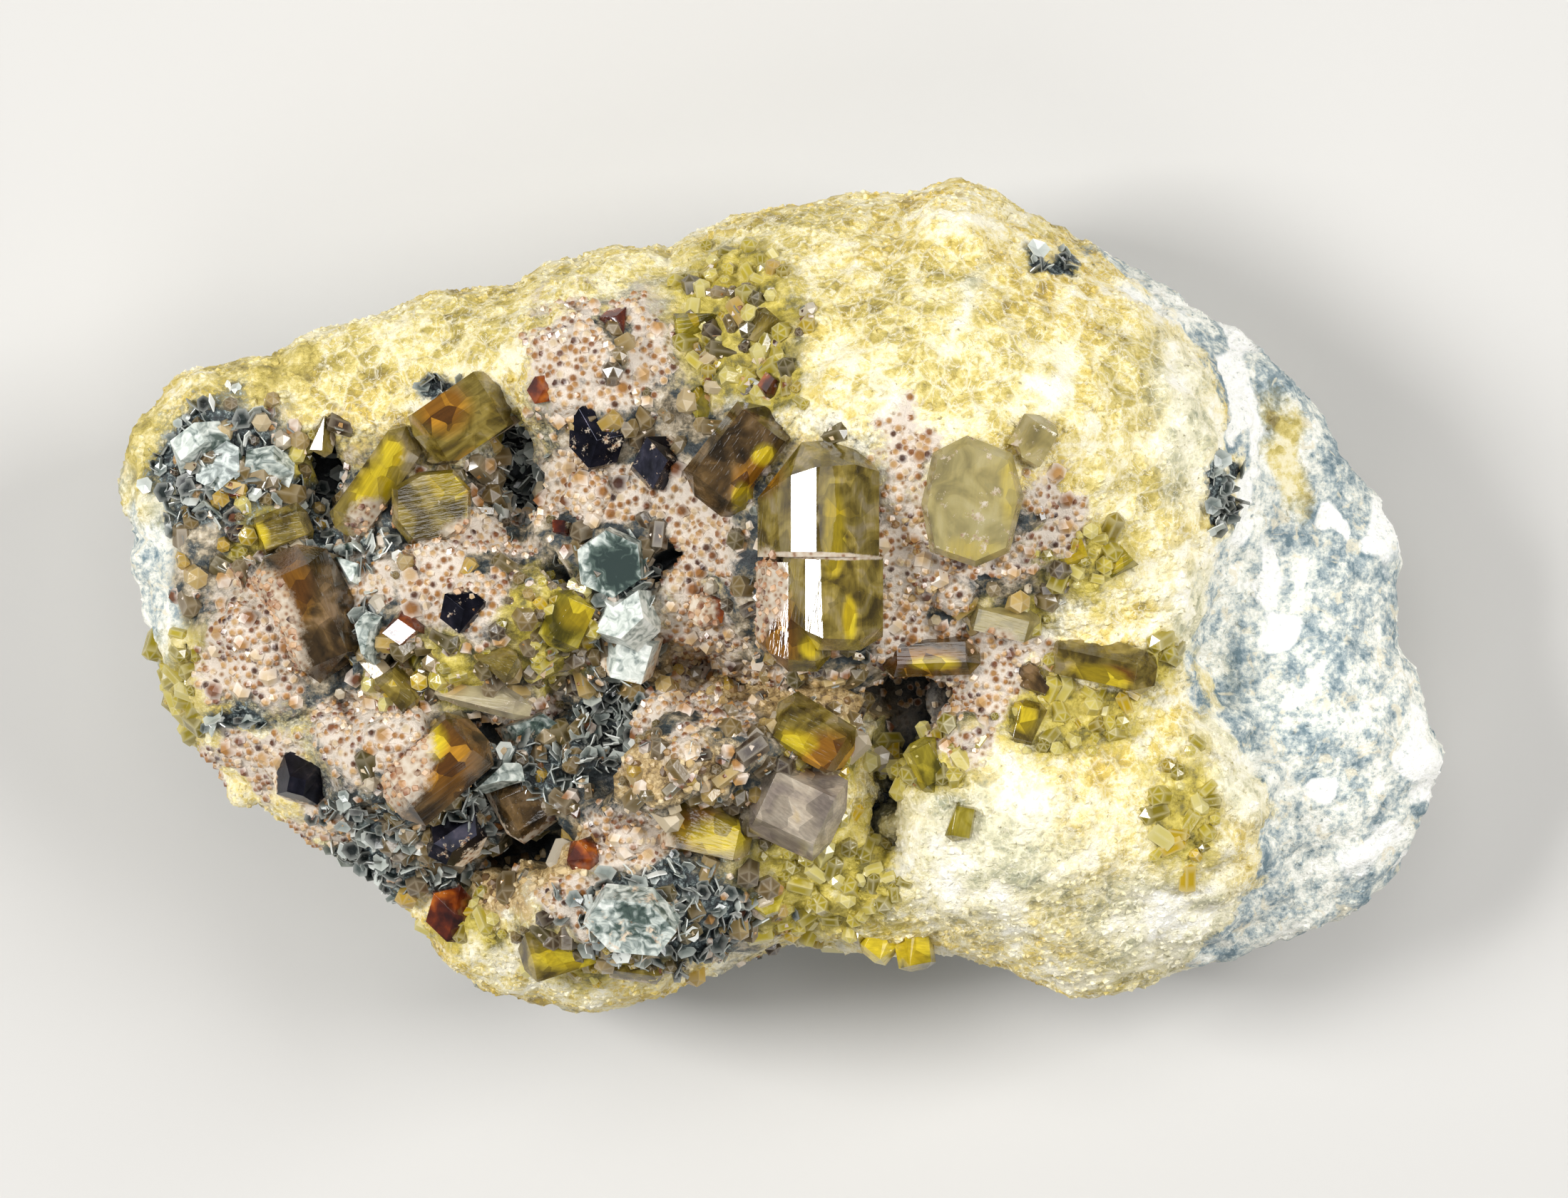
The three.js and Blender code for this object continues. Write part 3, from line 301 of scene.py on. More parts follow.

# Finishes of loose grains: colours from grain to grain, colour and strength of the highlight painted on the
# edges, roughness, and how much light goes through.
GRAIN_FINISHES = {
    # Tiny brown garnets, with a highlight painted pale round their sides.
    "sugary_garnet": (
        [(0.0, "#D2BE9C"), (0.3, "#BE9864"), (0.6, "#A07038"), (0.85, "#784828"), (1.0, "#402820")],
        "#DED2C4", 0.85, 0.3, 0.0,
    ),
    # The same on the flanks of the crystals, browner and duller.
    "coating_garnet": (
        [(0.0, "#C9A67E"), (0.3, "#B58452"), (0.6, "#965E32"), (0.85, "#6E3E22"), (1.0, "#3E241A")],
        "#CDB294", 0.55, 0.5, 0.0,
    ),
    # Glassy yellow-green grains, some of them bright.
    "granular_epidote": (
        [(0.0, "#E6DA8C"), (0.3, "#D0BC44"), (0.55, "#AE9C24"), (0.8, "#7C6E1C"), (1.0, "#E0BA1E")],
        "#EFE6B4", 0.4, 0.12, 0.3,
    ),
    # Dark grains of several minerals in the shade between the crystals.
    "dark_grain": (
        [(0.0, "#4A4220"), (0.25, "#7A6438"), (0.45, "#2A1C1A"), (0.65, "#8F7C58"), (0.8, "#B08E2C"),
         (1.0, "#C2B8A6")],
        "#C2B69C", 0.25, 0.2, 0.1,
    ),
    # Pearly flakes from silver to nearly black.
    "chlorite_flake": (
        [(0.0, "#E9EAE4"), (0.2, "#B4BAB2"), (0.42, "#77807B"), (0.66, "#2B3533"), (1.0, "#0E1413")],
        "#DDDFD6", 0.3, 0.25, 0.0,
    ),
    # Dull tan lumps.
    "tan_grain": (
        [(0.0, "#E0CEA6"), (0.5, "#BC9E66"), (0.8, "#8E6C3C"), (1.0, "#584028")], "#E8DABA", 0.3, 0.45, 0.0
    ),
}

# Runs of grains: finish and slot, the mask that they lie on, the distance between them and their least and
# most size as shares of the usual size, how many may lie on a square millimetre, how deep one sinks as a
# share of its size, and how far it turns upright.
RUNS = {
    "sugar_garnets": ("sugary_garnet", "garnet", "sugar", 0.56, (0.7, 1.05), 14.0, 0.12, 1.0),
    "sugar_garnets_large": ("sugary_garnet", "garnet", "sugar", 1.6, (1.3, 2.1), 0.7, 0.1, 1.0),
    "loose_garnets": ("sugary_garnet", "garnet", "between", 0.9, (0.7, 1.9), 2.4, 0.1, 0.6),
    "epidote_grains": ("granular_epidote", "epidote_yellow", "grainy", 0.5, (0.5, 1.35), 3.6, 0.1, 0.3),
    "dark_grains": ("dark_grain", "epidote", "between", 0.6, (0.5, 1.5), 1.8, 0.1, 0.3),
    "chlorite_flakes": ("chlorite_flake", "chlorite", "mica", 0.36, (0.6, 1.5), 9.0, -0.15, 0.2),
    "loose_flakes": ("chlorite_flake", "chlorite", "between", 0.7, (0.5, 1.0), 1.0, -0.15, 0.2),
    "tan_grains": ("tan_grain", "rock", "tan", 0.7, (0.5, 1.2), 6.0, 0.1, 0.0),
    "crust_crumbs": (ROCK_FINISH, "rock", "crust", 0.6, (0.5, 1.7), 9.0, 0.3, 0.0),
    "rock_crumbs": (ROCK_FINISH, "rock", "bare", 0.6, (0.5, 1.5), 4.0, 0.35, 0.0),
    "coat": ("coating_garnet", "garnet", "coat", 0.55, (0.6, 1.0), 14.0, 0.2, 0.0),
}

# Soft boxes: azimuth from +X, height above the horizon, distance, side and power.
LIGHTS = {
    "key": (172, 45, 0.5, 0.16, 2.15),
    "fill": (15, 42, 0.5, 0.25, 1.95),
    "front": (262, 50, 0.55, 0.25, 0.5),
    "top": (90, 72, 0.6, 0.3, 0.75),
}

# The room's own light, and the share of the lump's height at which its outline is widest.
ROOM_LIGHT = 0.14
WIDEST_SHARE = 0.45


def linear(code):
    """An sRGB hex colour as linear red, green, blue and alpha."""
    parts = [int(code[i : i + 2], 16) / 255 for i in (1, 3, 5)]
    return tuple(c / 12.92 if c <= 0.04045 else ((c + 0.055) / 1.055) ** 2.4 for c in parts) + (1.0,)


def add_node(tree, kind, inputs=None, stops=None, **settings):
    """Adds a node with its settings, its values and links by socket name or number, and a ramp's stops."""
    node = tree.nodes.new(kind)
    for name, value in settings.items():
        setattr(node, name, value)
    for key, value in (inputs or {}).items():
        named = [s for s in node.inputs if s.enabled and s.name == key]
        socket = named[0] if named else node.inputs[key]
        if isinstance(value, bpy.types.Node):
            value = next(s for s in value.outputs if s.enabled)
        if isinstance(value, bpy.types.NodeSocket):
            tree.links.new(value, socket)
        else:
            socket.default_value = value
    if stops:
        ramp = node.color_ramp
        while len(ramp.elements) < len(stops):
            ramp.elements.new(1.0)
        for element, (place, code) in zip(ramp.elements, stops):
            element.position = place
            element.color = linear(code)
    return node


def new_material(name):
    """An empty node material, and what adds a node to it."""
    material = bpy.data.materials.new(name)
    material.use_nodes = True
    material.node_tree.nodes.clear()
    return material, partial(add_node, material.node_tree)


def finish_surface(add, inputs, height=None, strength=0.5, depth=0.05, inside=None):
    """A principled surface, with a bump whose height runs over so many millimetres, and an inside."""
    if height is not None:
        bump = add("ShaderNodeBump", {"Strength": strength, "Distance": depth * MM, "Height": height})
        inputs = {**inputs, "Normal": bump}
    surface = add("ShaderNodeBsdfPrincipled", inputs)
    add("ShaderNodeOutputMaterial", {"Surface": surface, **({"Volume": inside} if inside else {})})


def in_millimetres(add):
    """Object coordinates in millimetres, so that a texture's scale is one over a real size."""
    place = add("ShaderNodeTexCoord").outputs["Object"]
    return add("ShaderNodeVectorMath", {0: place, "Scale": 1 / MM}, operation="SCALE")


def mask_edge(add, name, wobble, softness):
    """A painted mask whose edge is broken up by a texture."""
    mask = add("ShaderNodeAttribute", attribute_name=name).outputs["Fac"]
    moved = add("ShaderNodeMath", {0: wobble, 1: 0.9, 2: mask}, operation="MULTIPLY_ADD")
    return add(
        "ShaderNodeMapRange", {"Value": moved, "From Min": 0.95 - softness, "From Max": 0.95 + softness}
    )


def layered(add, colour, wobble, layers):
    """Lays colours over a first one: each by a factor, or where a painted mask with so soft an edge is."""
    for where, softness, over in layers:
        factor = mask_edge(add, where, wobble, softness) if softness else where
        colour = add("ShaderNodeMix", {"Factor": factor, "A": colour, "B": over}, data_type="RGBA")
    return colour


def rock_material():
    """Massive fine epidote on altered country rock, broken and unpolished.

    The eye gets cream and yellow granular crust with a pale fibrous net, blue-grey mottled rock, a pinkish
    crust of tiny garnets with brown cores, flaky dark chlorite and tan hollows. Shade is painted in:
    near-black in the deepest hollows, and dark tones on the ground between crowded crystals.
    """
    material, add = new_material(ROCK_FINISH)
    place = in_millimetres(add)
    broad = add(
        "ShaderNodeTexNoise", {"Vector": place, "Scale": 1 / BROAD, "Detail": 6.0, "Roughness": 0.6}
    ).outputs["Fac"]
    medium_noise = add(
        "ShaderNodeTexNoise", {"Vector": place, "Scale": 1 / MEDIUM, "Detail": 6.0, "Roughness": 0.66}
    )
    medium = medium_noise.outputs["Fac"]
    fine = add(
        "ShaderNodeTexNoise", {"Vector": place, "Scale": 1 / FINE, "Detail": 4.0, "Roughness": 0.7}
    ).outputs["Fac"]
    curly = add(
        "ShaderNodeTexNoise",
        {"Vector": place, "Scale": 1 / CURL, "Detail": 3.0, "Roughness": 0.55, "Distortion": 1.6},
    ).outputs["Fac"]

    # Grains of the crust: each has its own tone, and a paler border.
    bent = add(
        "ShaderNodeVectorMath", {0: medium_noise.outputs["Color"], 1: (0.5, 0.5, 0.5), 2: place},
        operation="MULTIPLY_ADD",
    )
    grains = add("ShaderNodeTexVoronoi", {"Vector": bent, "Scale": 1 / CRUST_GRAIN})
    borders = add(
        "ShaderNodeTexVoronoi", {"Vector": bent, "Scale": 1 / CRUST_GRAIN}, feature="DISTANCE_TO_EDGE"
    )
    border = add(
        "ShaderNodeMapRange",
        {"Value": borders.outputs["Distance"], "From Max": 0.1, "To Min": 0.5, "To Max": 0},
    )
    own_tone = add(
        "ShaderNodeMapRange",
        {"Value": grains.outputs["Color"], "From Min": 0.2, "From Max": 0.8, "To Min": -0.045,
         "To Max": 0.045},
    )
    cloud = add("ShaderNodeMath", {0: broad, 1: medium}, operation="ADD")
    cloud = add("ShaderNodeMath", {0: cloud, 1: 0.5}, operation="MULTIPLY")
    cloud = add("ShaderNodeMath", {0: fine, 1: 0.25, 2: cloud}, operation="MULTIPLY_ADD")
    cloud = add("ShaderNodeMath", {0: cloud, 1: own_tone}, operation="ADD")
    grey_cloud = add("ShaderNodeMath", {0: broad, 1: 0.45}, operation="MULTIPLY")
    grey_cloud = add("ShaderNodeMath", {0: medium, 1: 0.5, 2: grey_cloud}, operation="MULTIPLY_ADD")
    grey_cloud = add("ShaderNodeMath", {0: fine, 1: 0.35, 2: grey_cloud}, operation="MULTIPLY_ADD")
    cells = add("ShaderNodeTexVoronoi", {"Vector": place, "Scale": 1 / GARNET_CELL})

    # Fibres of the net, and flecks and specks of other minerals.
    ridge = add("ShaderNodeMath", {0: curly, 1: -0.5}, operation="ADD")
    ridge = add("ShaderNodeMath", {0: ridge}, operation="ABSOLUTE")
    net = add("ShaderNodeMapRange", {"Value": ridge, "From Max": 0.022, "To Min": 0.6, "To Max": 0})
    speck = add("ShaderNodeMapRange", {"Value": fine, "From Min": 0.63, "From Max": 0.7, "To Max": 0.7})
    fleck = add("ShaderNodeMapRange", {"Value": curly, "From Min": 0.58, "From Max": 0.66, "To Max": 0.7})

    textures = {
        "cloud": cloud, "grey_cloud": grey_cloud, "medium": medium, "fine": fine,
        "cells": cells.outputs["Distance"],
    }
    tone = {
        name: add("ShaderNodeValToRGB", {"Fac": textures[texture]}, stops=stops)
        for name, (texture, stops) in ROCK_RAMPS.items()
    }
    crust = layered(add, tone["crust"], fine, [
        ("mossy", 0.45, tone["mossy"]),
        ("frosty", 0.45, tone["frosty"]),
        (border, None, linear("#F3EBCB")),
        (net, None, linear("#F7F2DF")),
        (speck, None, linear("#7C6E3C")),
    ])
    grey = layered(add, tone["grey"], medium, [
        (fleck, None, linear("#E6DCC0")),
        (speck, None, linear("#5E7880")),
        ("white", 0.12, tone["chalk"]),
    ])
    colour = layered(add, crust, fine, [
        # Mottled ground between crowded crystals, its darkest tones painted shade.
        ("crowd", 0.2, tone["crowd"]),
        ("grainy", 0.3, tone["grainy"]),
        ("grey", MASK_EDGE, grey),
        ("pale", 0.3, grey),
        ("mossy_rim", 0.3, tone["mossy"]),
        ("mica", MASK_EDGE, tone["mica"]),
        ("tan", MASK_EDGE, tone["tan"]),
        ("sugar", MASK_EDGE, tone["sugar"]),
        # Painted shade: near-black colour in the hollows.
        ("hollow", 0.35, linear("#10191C")),
    ])
    grit = add("ShaderNodeMath", {0: fine, 1: medium}, operation="ADD")
    finish_surface(add, {"Base Color": colour, "Roughness": 0.55, "IOR": 1.6}, grit, 0.7, 0.16)
    return material


def dusted(add, colour, own):
    """Colour under a powder of fine grains, and the powder's mask.

    The powder is thick at the crystal's root and patchy above. It also lies on coats and seams.
    """
    place = in_millimetres(add)
    powder = add(
        "ShaderNodeTexNoise", {"Vector": own, "Scale": 1 / POWDER, "Detail": 5.0, "Roughness": 0.75}
    ).outputs["Fac"]
    amount = add("ShaderNodeAttribute", attribute_name="dust").outputs["Fac"]
    root = add("ShaderNodeAttribute", attribute_name="root").outputs["Fac"]
    height = add("ShaderNodeSeparateXYZ", {"Vector": place}).outputs["Z"]
    above = add("ShaderNodeMath", {0: height, 1: root}, operation="SUBTRACT")
    low = add("ShaderNodeMapRange", {"Value": above, "From Max": POWDER_HEIGHT, "To Min": 0.3, "To Max": 0})
    cover = add("ShaderNodeMath", {0: powder, 1: low}, operation="ADD")
    cover = add("ShaderNodeMath", {0: cover, 1: amount}, operation="ADD")
    mask = add("ShaderNodeMapRange", {"Value": cover, "From Min": 0.86, "From Max": 0.94})
    for name, softness in (("coat", 0.2), ("seam", MASK_EDGE)):
        painted = mask_edge(add, name, powder, softness)
        mask = add("ShaderNodeMath", {0: mask, 1: painted}, operation="MAXIMUM")
    grain = add("ShaderNodeTexVoronoi", {"Vector": place, "Scale": 1 / POWDER_GRAIN})
    dust = add(
        "ShaderNodeValToRGB", {"Fac": grain.outputs["Distance"]},
        stops=[(0.15, "#94643C"), (0.4, "#CDB698"), (0.8, "#E2D4BE")],
    )
    return layered(add, colour, powder, [(mask, None, dust)]), mask


def epidote_material(name, ramp, share, see_through, absorbed):
    """Epidote as it grew: glassy striated faces over a dark body.

    The eye gets painted light: bright yellow patches and facets where light would come back out, and amber
    patches that are partly the body's own colour and partly painted light. Also fine lines along the crystal
    and a grey-green veil on some faces.
    """
    material, add = new_material(name)
    own = add("ShaderNodeAttribute", attribute_name="own").outputs["Vector"]
    cloud = add(
        "ShaderNodeTexNoise", {"Vector": own, "Scale": 1 / BODY_CLOUD, "Detail": 4.0, "Distortion": 0.8}
    ).outputs["Fac"]
    inner = add(
        "ShaderNodeTexVoronoi", {"Vector": own, "Scale": 1 / INNER_FACET, "Randomness": 1.0}
    ).outputs["Color"]
    body = add("ShaderNodeValToRGB", {"Fac": cloud}, stops=ramp)
    shade = add(
        "ShaderNodeMapRange",
        {"Value": inner, "From Min": 0.25, "From Max": 0.75, "To Min": 0.75, "To Max": 1.2},
    )
    body = add("ShaderNodeVectorMath", {0: body, "Scale": shade}, operation="SCALE")
    # Painted light: amber, partly the body's own colour, and yellow where light would come back out, in the
    # painted patches and on a share of the inner facets.
    amber = add("ShaderNodeValToRGB", {"Fac": inner}, stops=AMBER_AND_PAINTED_LIGHT_RAMP)
    glow = add("ShaderNodeValToRGB", {"Fac": inner}, stops=PAINTED_GLOW_RAMP)
    painted_light_facets = add("ShaderNodeMapRange", {"Value": inner, "From Min": 1 - share, "From Max": 1.03 - share})
    body = layered(add, body, cloud, [
        ("amber", 0.35, amber),
        ("glow", 0.3, glow),
        (painted_light_facets, None, linear("#D9B51A")),
    ])
    stretched = add("ShaderNodeVectorMath", {0: own, 1: STRETCH}, operation="MULTIPLY")
    striae = add(
        "ShaderNodeTexNoise", {"Vector": stretched, "Scale": 3.0, "Detail": 2.0, "Roughness": 0.6}
    ).outputs["Fac"]
    lines = add(
        "ShaderNodeMapRange",
        {"Value": striae, "From Min": 0.35, "From Max": 0.65, "To Min": 0.84, "To Max": 1.12},
    )
    body = add("ShaderNodeVectorMath", {0: body, "Scale": lines}, operation="SCALE")
    haze = add("ShaderNodeAttribute", attribute_name="haze").outputs["Fac"]
    veiled = add("ShaderNodeMath", {0: cloud, 1: haze}, operation="MULTIPLY")
    veiled = add("ShaderNodeMapRange", {"Value": veiled, "From Max": 0.55})
    body = layered(add, body, cloud, [(veiled, None, linear("#D0C48E"))])
    colour, mask = dusted(add, body, own)
    rough = add("ShaderNodeMapRange", {"Value": mask, "To Min": 0.05, "To Max": 0.7})
    dull = mask_edge(add, "dull", cloud, 0.1)
    dull = add("ShaderNodeMath", {0: dull, 1: 0.45}, operation="MULTIPLY")
    rough = add("ShaderNodeMath", {0: rough, 1: dull}, operation="MAXIMUM")
    relief = add("ShaderNodeMath", {0: striae, 1: mask}, operation="ADD")
    absorption = add("ShaderNodeVolumeAbsorption", {"Color": linear(absorbed), "Density": EPIDOTE_DENSITY})
    finish_surface(
        add, {"Base Color": colour, "Roughness": rough, "IOR": 1.73, "Transmission Weight": see_through},
        relief, 0.25, 0.03, absorption,
    )
    return material


def magnetite_material():
    """Magnetite as it grew.

    The eye gets blue-black faces with a dull metal gleam, specked with cream powder.
    """
    material, add = new_material("magnetite_crystal_face")
    own = add("ShaderNodeAttribute", attribute_name="own").outputs["Vector"]
    stain = add("ShaderNodeTexNoise", {"Vector": own, "Scale": 1 / STAIN, "Detail": 4.0}).outputs["Fac"]
    body = add(
        "ShaderNodeValToRGB", {"Fac": stain}, stops=[(0.3, "#101018"), (0.55, "#22222E"), (0.72, "#3A3640")]
    )
    colour, mask = dusted(add, body, own)
    metal = add("ShaderNodeMapRange", {"Value": mask, "To Min": 0.75, "To Max": 0})
    rough = add("ShaderNodeMapRange", {"Value": mask, "To Min": 0.24, "To Max": 0.8})
    finish_surface(add, {"Base Color": colour, "Metallic": metal, "Roughness": rough}, stain, 0.3, 0.04)
    return material


def garnet_material():
    """Garnet as it grew.

    The eye gets red-brown glassy faces, orange where they are thin, powdered at the root.
    """
    material, add = new_material("garnet_crystal_face")
    own = add("ShaderNodeAttribute", attribute_name="own").outputs["Vector"]
    depth = add(
        "ShaderNodeTexNoise", {"Vector": own, "Scale": 1 / GARNET_CLOUD, "Detail": 3.0}
    ).outputs["Fac"]
    body = add(
        "ShaderNodeValToRGB", {"Fac": depth},
        stops=[(0.34, "#2E1210"), (0.48, "#5E2614"), (0.58, "#8E4216"), (0.7, "#C06A1E")],
    )
    colour, mask = dusted(add, body, own)
    rough = add("ShaderNodeMapRange", {"Value": mask, "To Min": 0.12, "To Max": 0.7})
    finish_surface(
        add, {"Base Color": colour, "Roughness": rough, "IOR": 1.8, "Transmission Weight": 0.15}, depth,
        0.2, 0.03,
    )
    return material


def chlorite_material():
    """Chlorite as it grew.

    The eye gets soft pearly plates, pale grey green at the rim and dark green within.
    """
    material, add = new_material("chlorite_cleavage_plate")
    own = add("ShaderNodeAttribute", attribute_name="own").outputs["Vector"]
    middle = add("ShaderNodeAttribute", attribute_name="middle").outputs["Fac"]
    wisp = add(
        "ShaderNodeTexNoise", {"Vector": own, "Scale": 1 / WISP, "Detail": 4.0, "Distortion": 1.2}
    ).outputs["Fac"]
    mixed = add("ShaderNodeMath", {0: wisp, 1: 0.9, 2: middle}, operation="MULTIPLY_ADD")
    body = add(
        "ShaderNodeValToRGB", {"Fac": mixed},
        stops=[(0.36, "#E8EBE4"), (0.5, "#C2C9C0"), (0.6, "#8E9892"), (0.7, "#46574F"), (0.84, "#142A26")],
    )
    colour, _ = dusted(add, body, own)
    finish_surface(
        add, {"Base Color": colour, "Roughness": 0.36, "IOR": 1.58, "Coat Weight": 0.3}, wisp, 0.3, 0.03
    )
    return material


def grain_finish(name):
    """The finish of loose grains by its name, made when it's first asked for.

    The eye gets grains that each have their own tint, with a painted highlight: lighter edges where their
    faces meet.
    """
    if name in bpy.data.materials:
        return bpy.data.materials[name]
    ramp, painted_highlight_code, painted_highlight_share, roughness, see_through = GRAIN_FINISHES[name]
    material, add = new_material(name)
    tint = add("ShaderNodeAttribute", attribute_name="tint").outputs["Fac"]
    rim = add("ShaderNodeAttribute", attribute_name="rim").outputs["Fac"]
    body = add("ShaderNodeValToRGB", {"Fac": tint}, stops=ramp)
    # Painted highlight: a lighter colour towards each grain's rim.
    edge = add(
        "ShaderNodeMapRange", {"Value": rim, "From Min": 0.45, "From Max": 0.95, "To Max": painted_highlight_share}
    )
    colour = layered(add, body, rim, [(edge, None, linear(painted_highlight_code))])
    fine = add(
        "ShaderNodeTexNoise", {"Vector": in_millimetres(add), "Scale": 1 / GRAIN_GRIT, "Detail": 2.0}
    )
    finish_surface(
        add, {"Base Color": colour, "Roughness": roughness, "IOR": 1.7, "Transmission Weight": see_through},
        fine.outputs["Fac"], 0.3, 0.02,
    )
    return material


def new_object(name, mesh):
    """A mesh as an object in the scene, at the origin."""
    obj = bpy.data.objects.new(name, mesh)
    bpy.context.scene.collection.objects.link(obj)
    return obj


def plain_mesh(obj):
    """The object's mesh with its modifiers worked in."""
    graph = bpy.context.evaluated_depsgraph_get()
    return bpy.data.meshes.new_from_object(
        obj.evaluated_get(graph), preserve_all_data_layers=True, depsgraph=graph
    )


def merged_copy(node):
    """A bmesh of a CAD node with its loose triangles merged."""
    shape = bmesh.new()
    shape.from_mesh(frame["nodes"][node].data)
    bmesh.ops.remove_doubles(shape, verts=shape.verts, dist=0.002 * MM)
    return shape


def set_attribute(mesh, name, values, kind="FLOAT"):
    """Stores one value, or one vector, for each vertex."""
    attribute = mesh.attributes.new(name, kind, "POINT")
    values = np.asarray(values, np.float32)
    attribute.data.foreach_set("vector" if kind == "FLOAT_VECTOR" else "value", values.ravel())


def points_of(mesh):
    """The vertices as an array of millimetres."""
    co = np.zeros(len(mesh.vertices) * 3, np.float32)
    mesh.vertices.foreach_get("co", co)
    return co.reshape(-1, 3) / MM


def geometry_tree(name, inputs):
    """A node tree for geometry with named inputs, what adds a node to it, and what it is given."""
    tree = bpy.data.node_groups.new(name, "GeometryNodeTree")
    tree.interface.new_socket("Geometry", in_out="INPUT", socket_type="NodeSocketGeometry")
    for label, kind in inputs.items():
        tree.interface.new_socket(label, in_out="INPUT", socket_type=kind)
    tree.interface.new_socket("Geometry", in_out="OUTPUT", socket_type="NodeSocketGeometry")
    return tree, partial(add_node, tree), tree.nodes.new("NodeGroupInput").outputs


def through_nodes(obj, tree, values):
    """The plain mesh that the tree makes of an object, with the tree's inputs set by their identifiers."""
    modifier = obj.modifiers.new(tree.name, "NODES")
    modifier.node_group = tree
    for item in tree.interface.items_tree:
        if item.in_out == "INPUT" and item.name in values:
            modifier[item.identifier] = values[item.name]
    mesh = plain_mesh(obj)
    obj.modifiers.remove(modifier)
    return mesh


def ellipse(x, y, patch):
    """1 at the middle of a patch, 0.5 at its border and 0 beyond."""
    px, py, wide, high, turn = (*patch, 0)[:5]
    angle = math.radians(turn)
    u = ((x - px) * math.cos(angle) + (y - py) * math.sin(angle)) / wide
    v = ((y - py) * math.cos(angle) - (x - px) * math.sin(angle)) / high
    return np.clip(1.5 - np.hypot(u, v), 0, 1)


def paint_patches(mesh, points, table, reach=1.0):
    """Marks on every vertex how much of each patch of a table is there. Gives the marks back by name."""
    marks = {}
    for name, patches in table.items():
        shares = [ellipse(points[:, 0], points[:, 1], patch) for patch in patches]
        marks[name] = reach * np.max(shares, axis=0)
        set_attribute(mesh, name, marks[name])
    return marks


def paint_masks(mesh):
    """Marks on every vertex how much of each mineral is there."""
    points = points_of(mesh)
    # One noise for each axis, so that the same point always wanders in the same way.
    apart = (Vector((0, 0, 0)), Vector((31, 7, 3)), Vector((5, 43, 11)))
    wander = np.array([[noise.noise(Vector(p) / WANDER_SIZE + shift) for shift in apart] for p in points])
    moved = points + WANDER_REACH * wander
    edge = sorted(CRUST_EDGE, key=lambda corner: corner[1])
    beyond = moved[:, 0] - np.interp(moved[:, 1], [c[1] for c in edge], [c[0] for c in edge])
    wide, narrow = DRIFT_SIZES
    drift = np.array([noise.noise(Vector(p) / wide) + 0.5 * noise.noise(Vector(p) / narrow) for p in points])
    top = np.clip((points[:, 2] + CRUST_DRIFT * drift - CRUST_LEVEL) / CRUST_FADE, 0, 1)
    grey = np.maximum(np.clip(beyond / GREY_FADE + 0.5, 0, 1), 1 - top)
    set_attribute(mesh, "grey", grey)
    marks = paint_patches(mesh, moved, PATCHES, top)
    set_attribute(mesh, "mossy_rim", marks["mossy"] * (np.abs(moved[:, 0]) > RIM_START))
    gaps = np.array([noise.noise(Vector(p) / GAP_SIZE + Vector((40, 0, 0))) for p in points])
    marks["sugar"] *= np.clip((gaps + GAP_LEVEL) / GAP_FADE, 0, 1)
    mesh.attributes.remove(mesh.attributes["sugar"])
    set_attribute(mesh, "sugar", marks["sugar"])
    between = marks["crowd"] * (1 - marks["sugar"]) * (1 - marks["hollow"]) * (marks["pale"] < 0.3)
    set_attribute(mesh, "between", between)
    set_attribute(mesh, "crust", top * (1 - marks["crowd"]) * (1 - grey))
    set_attribute(mesh, "bare", top * grey)


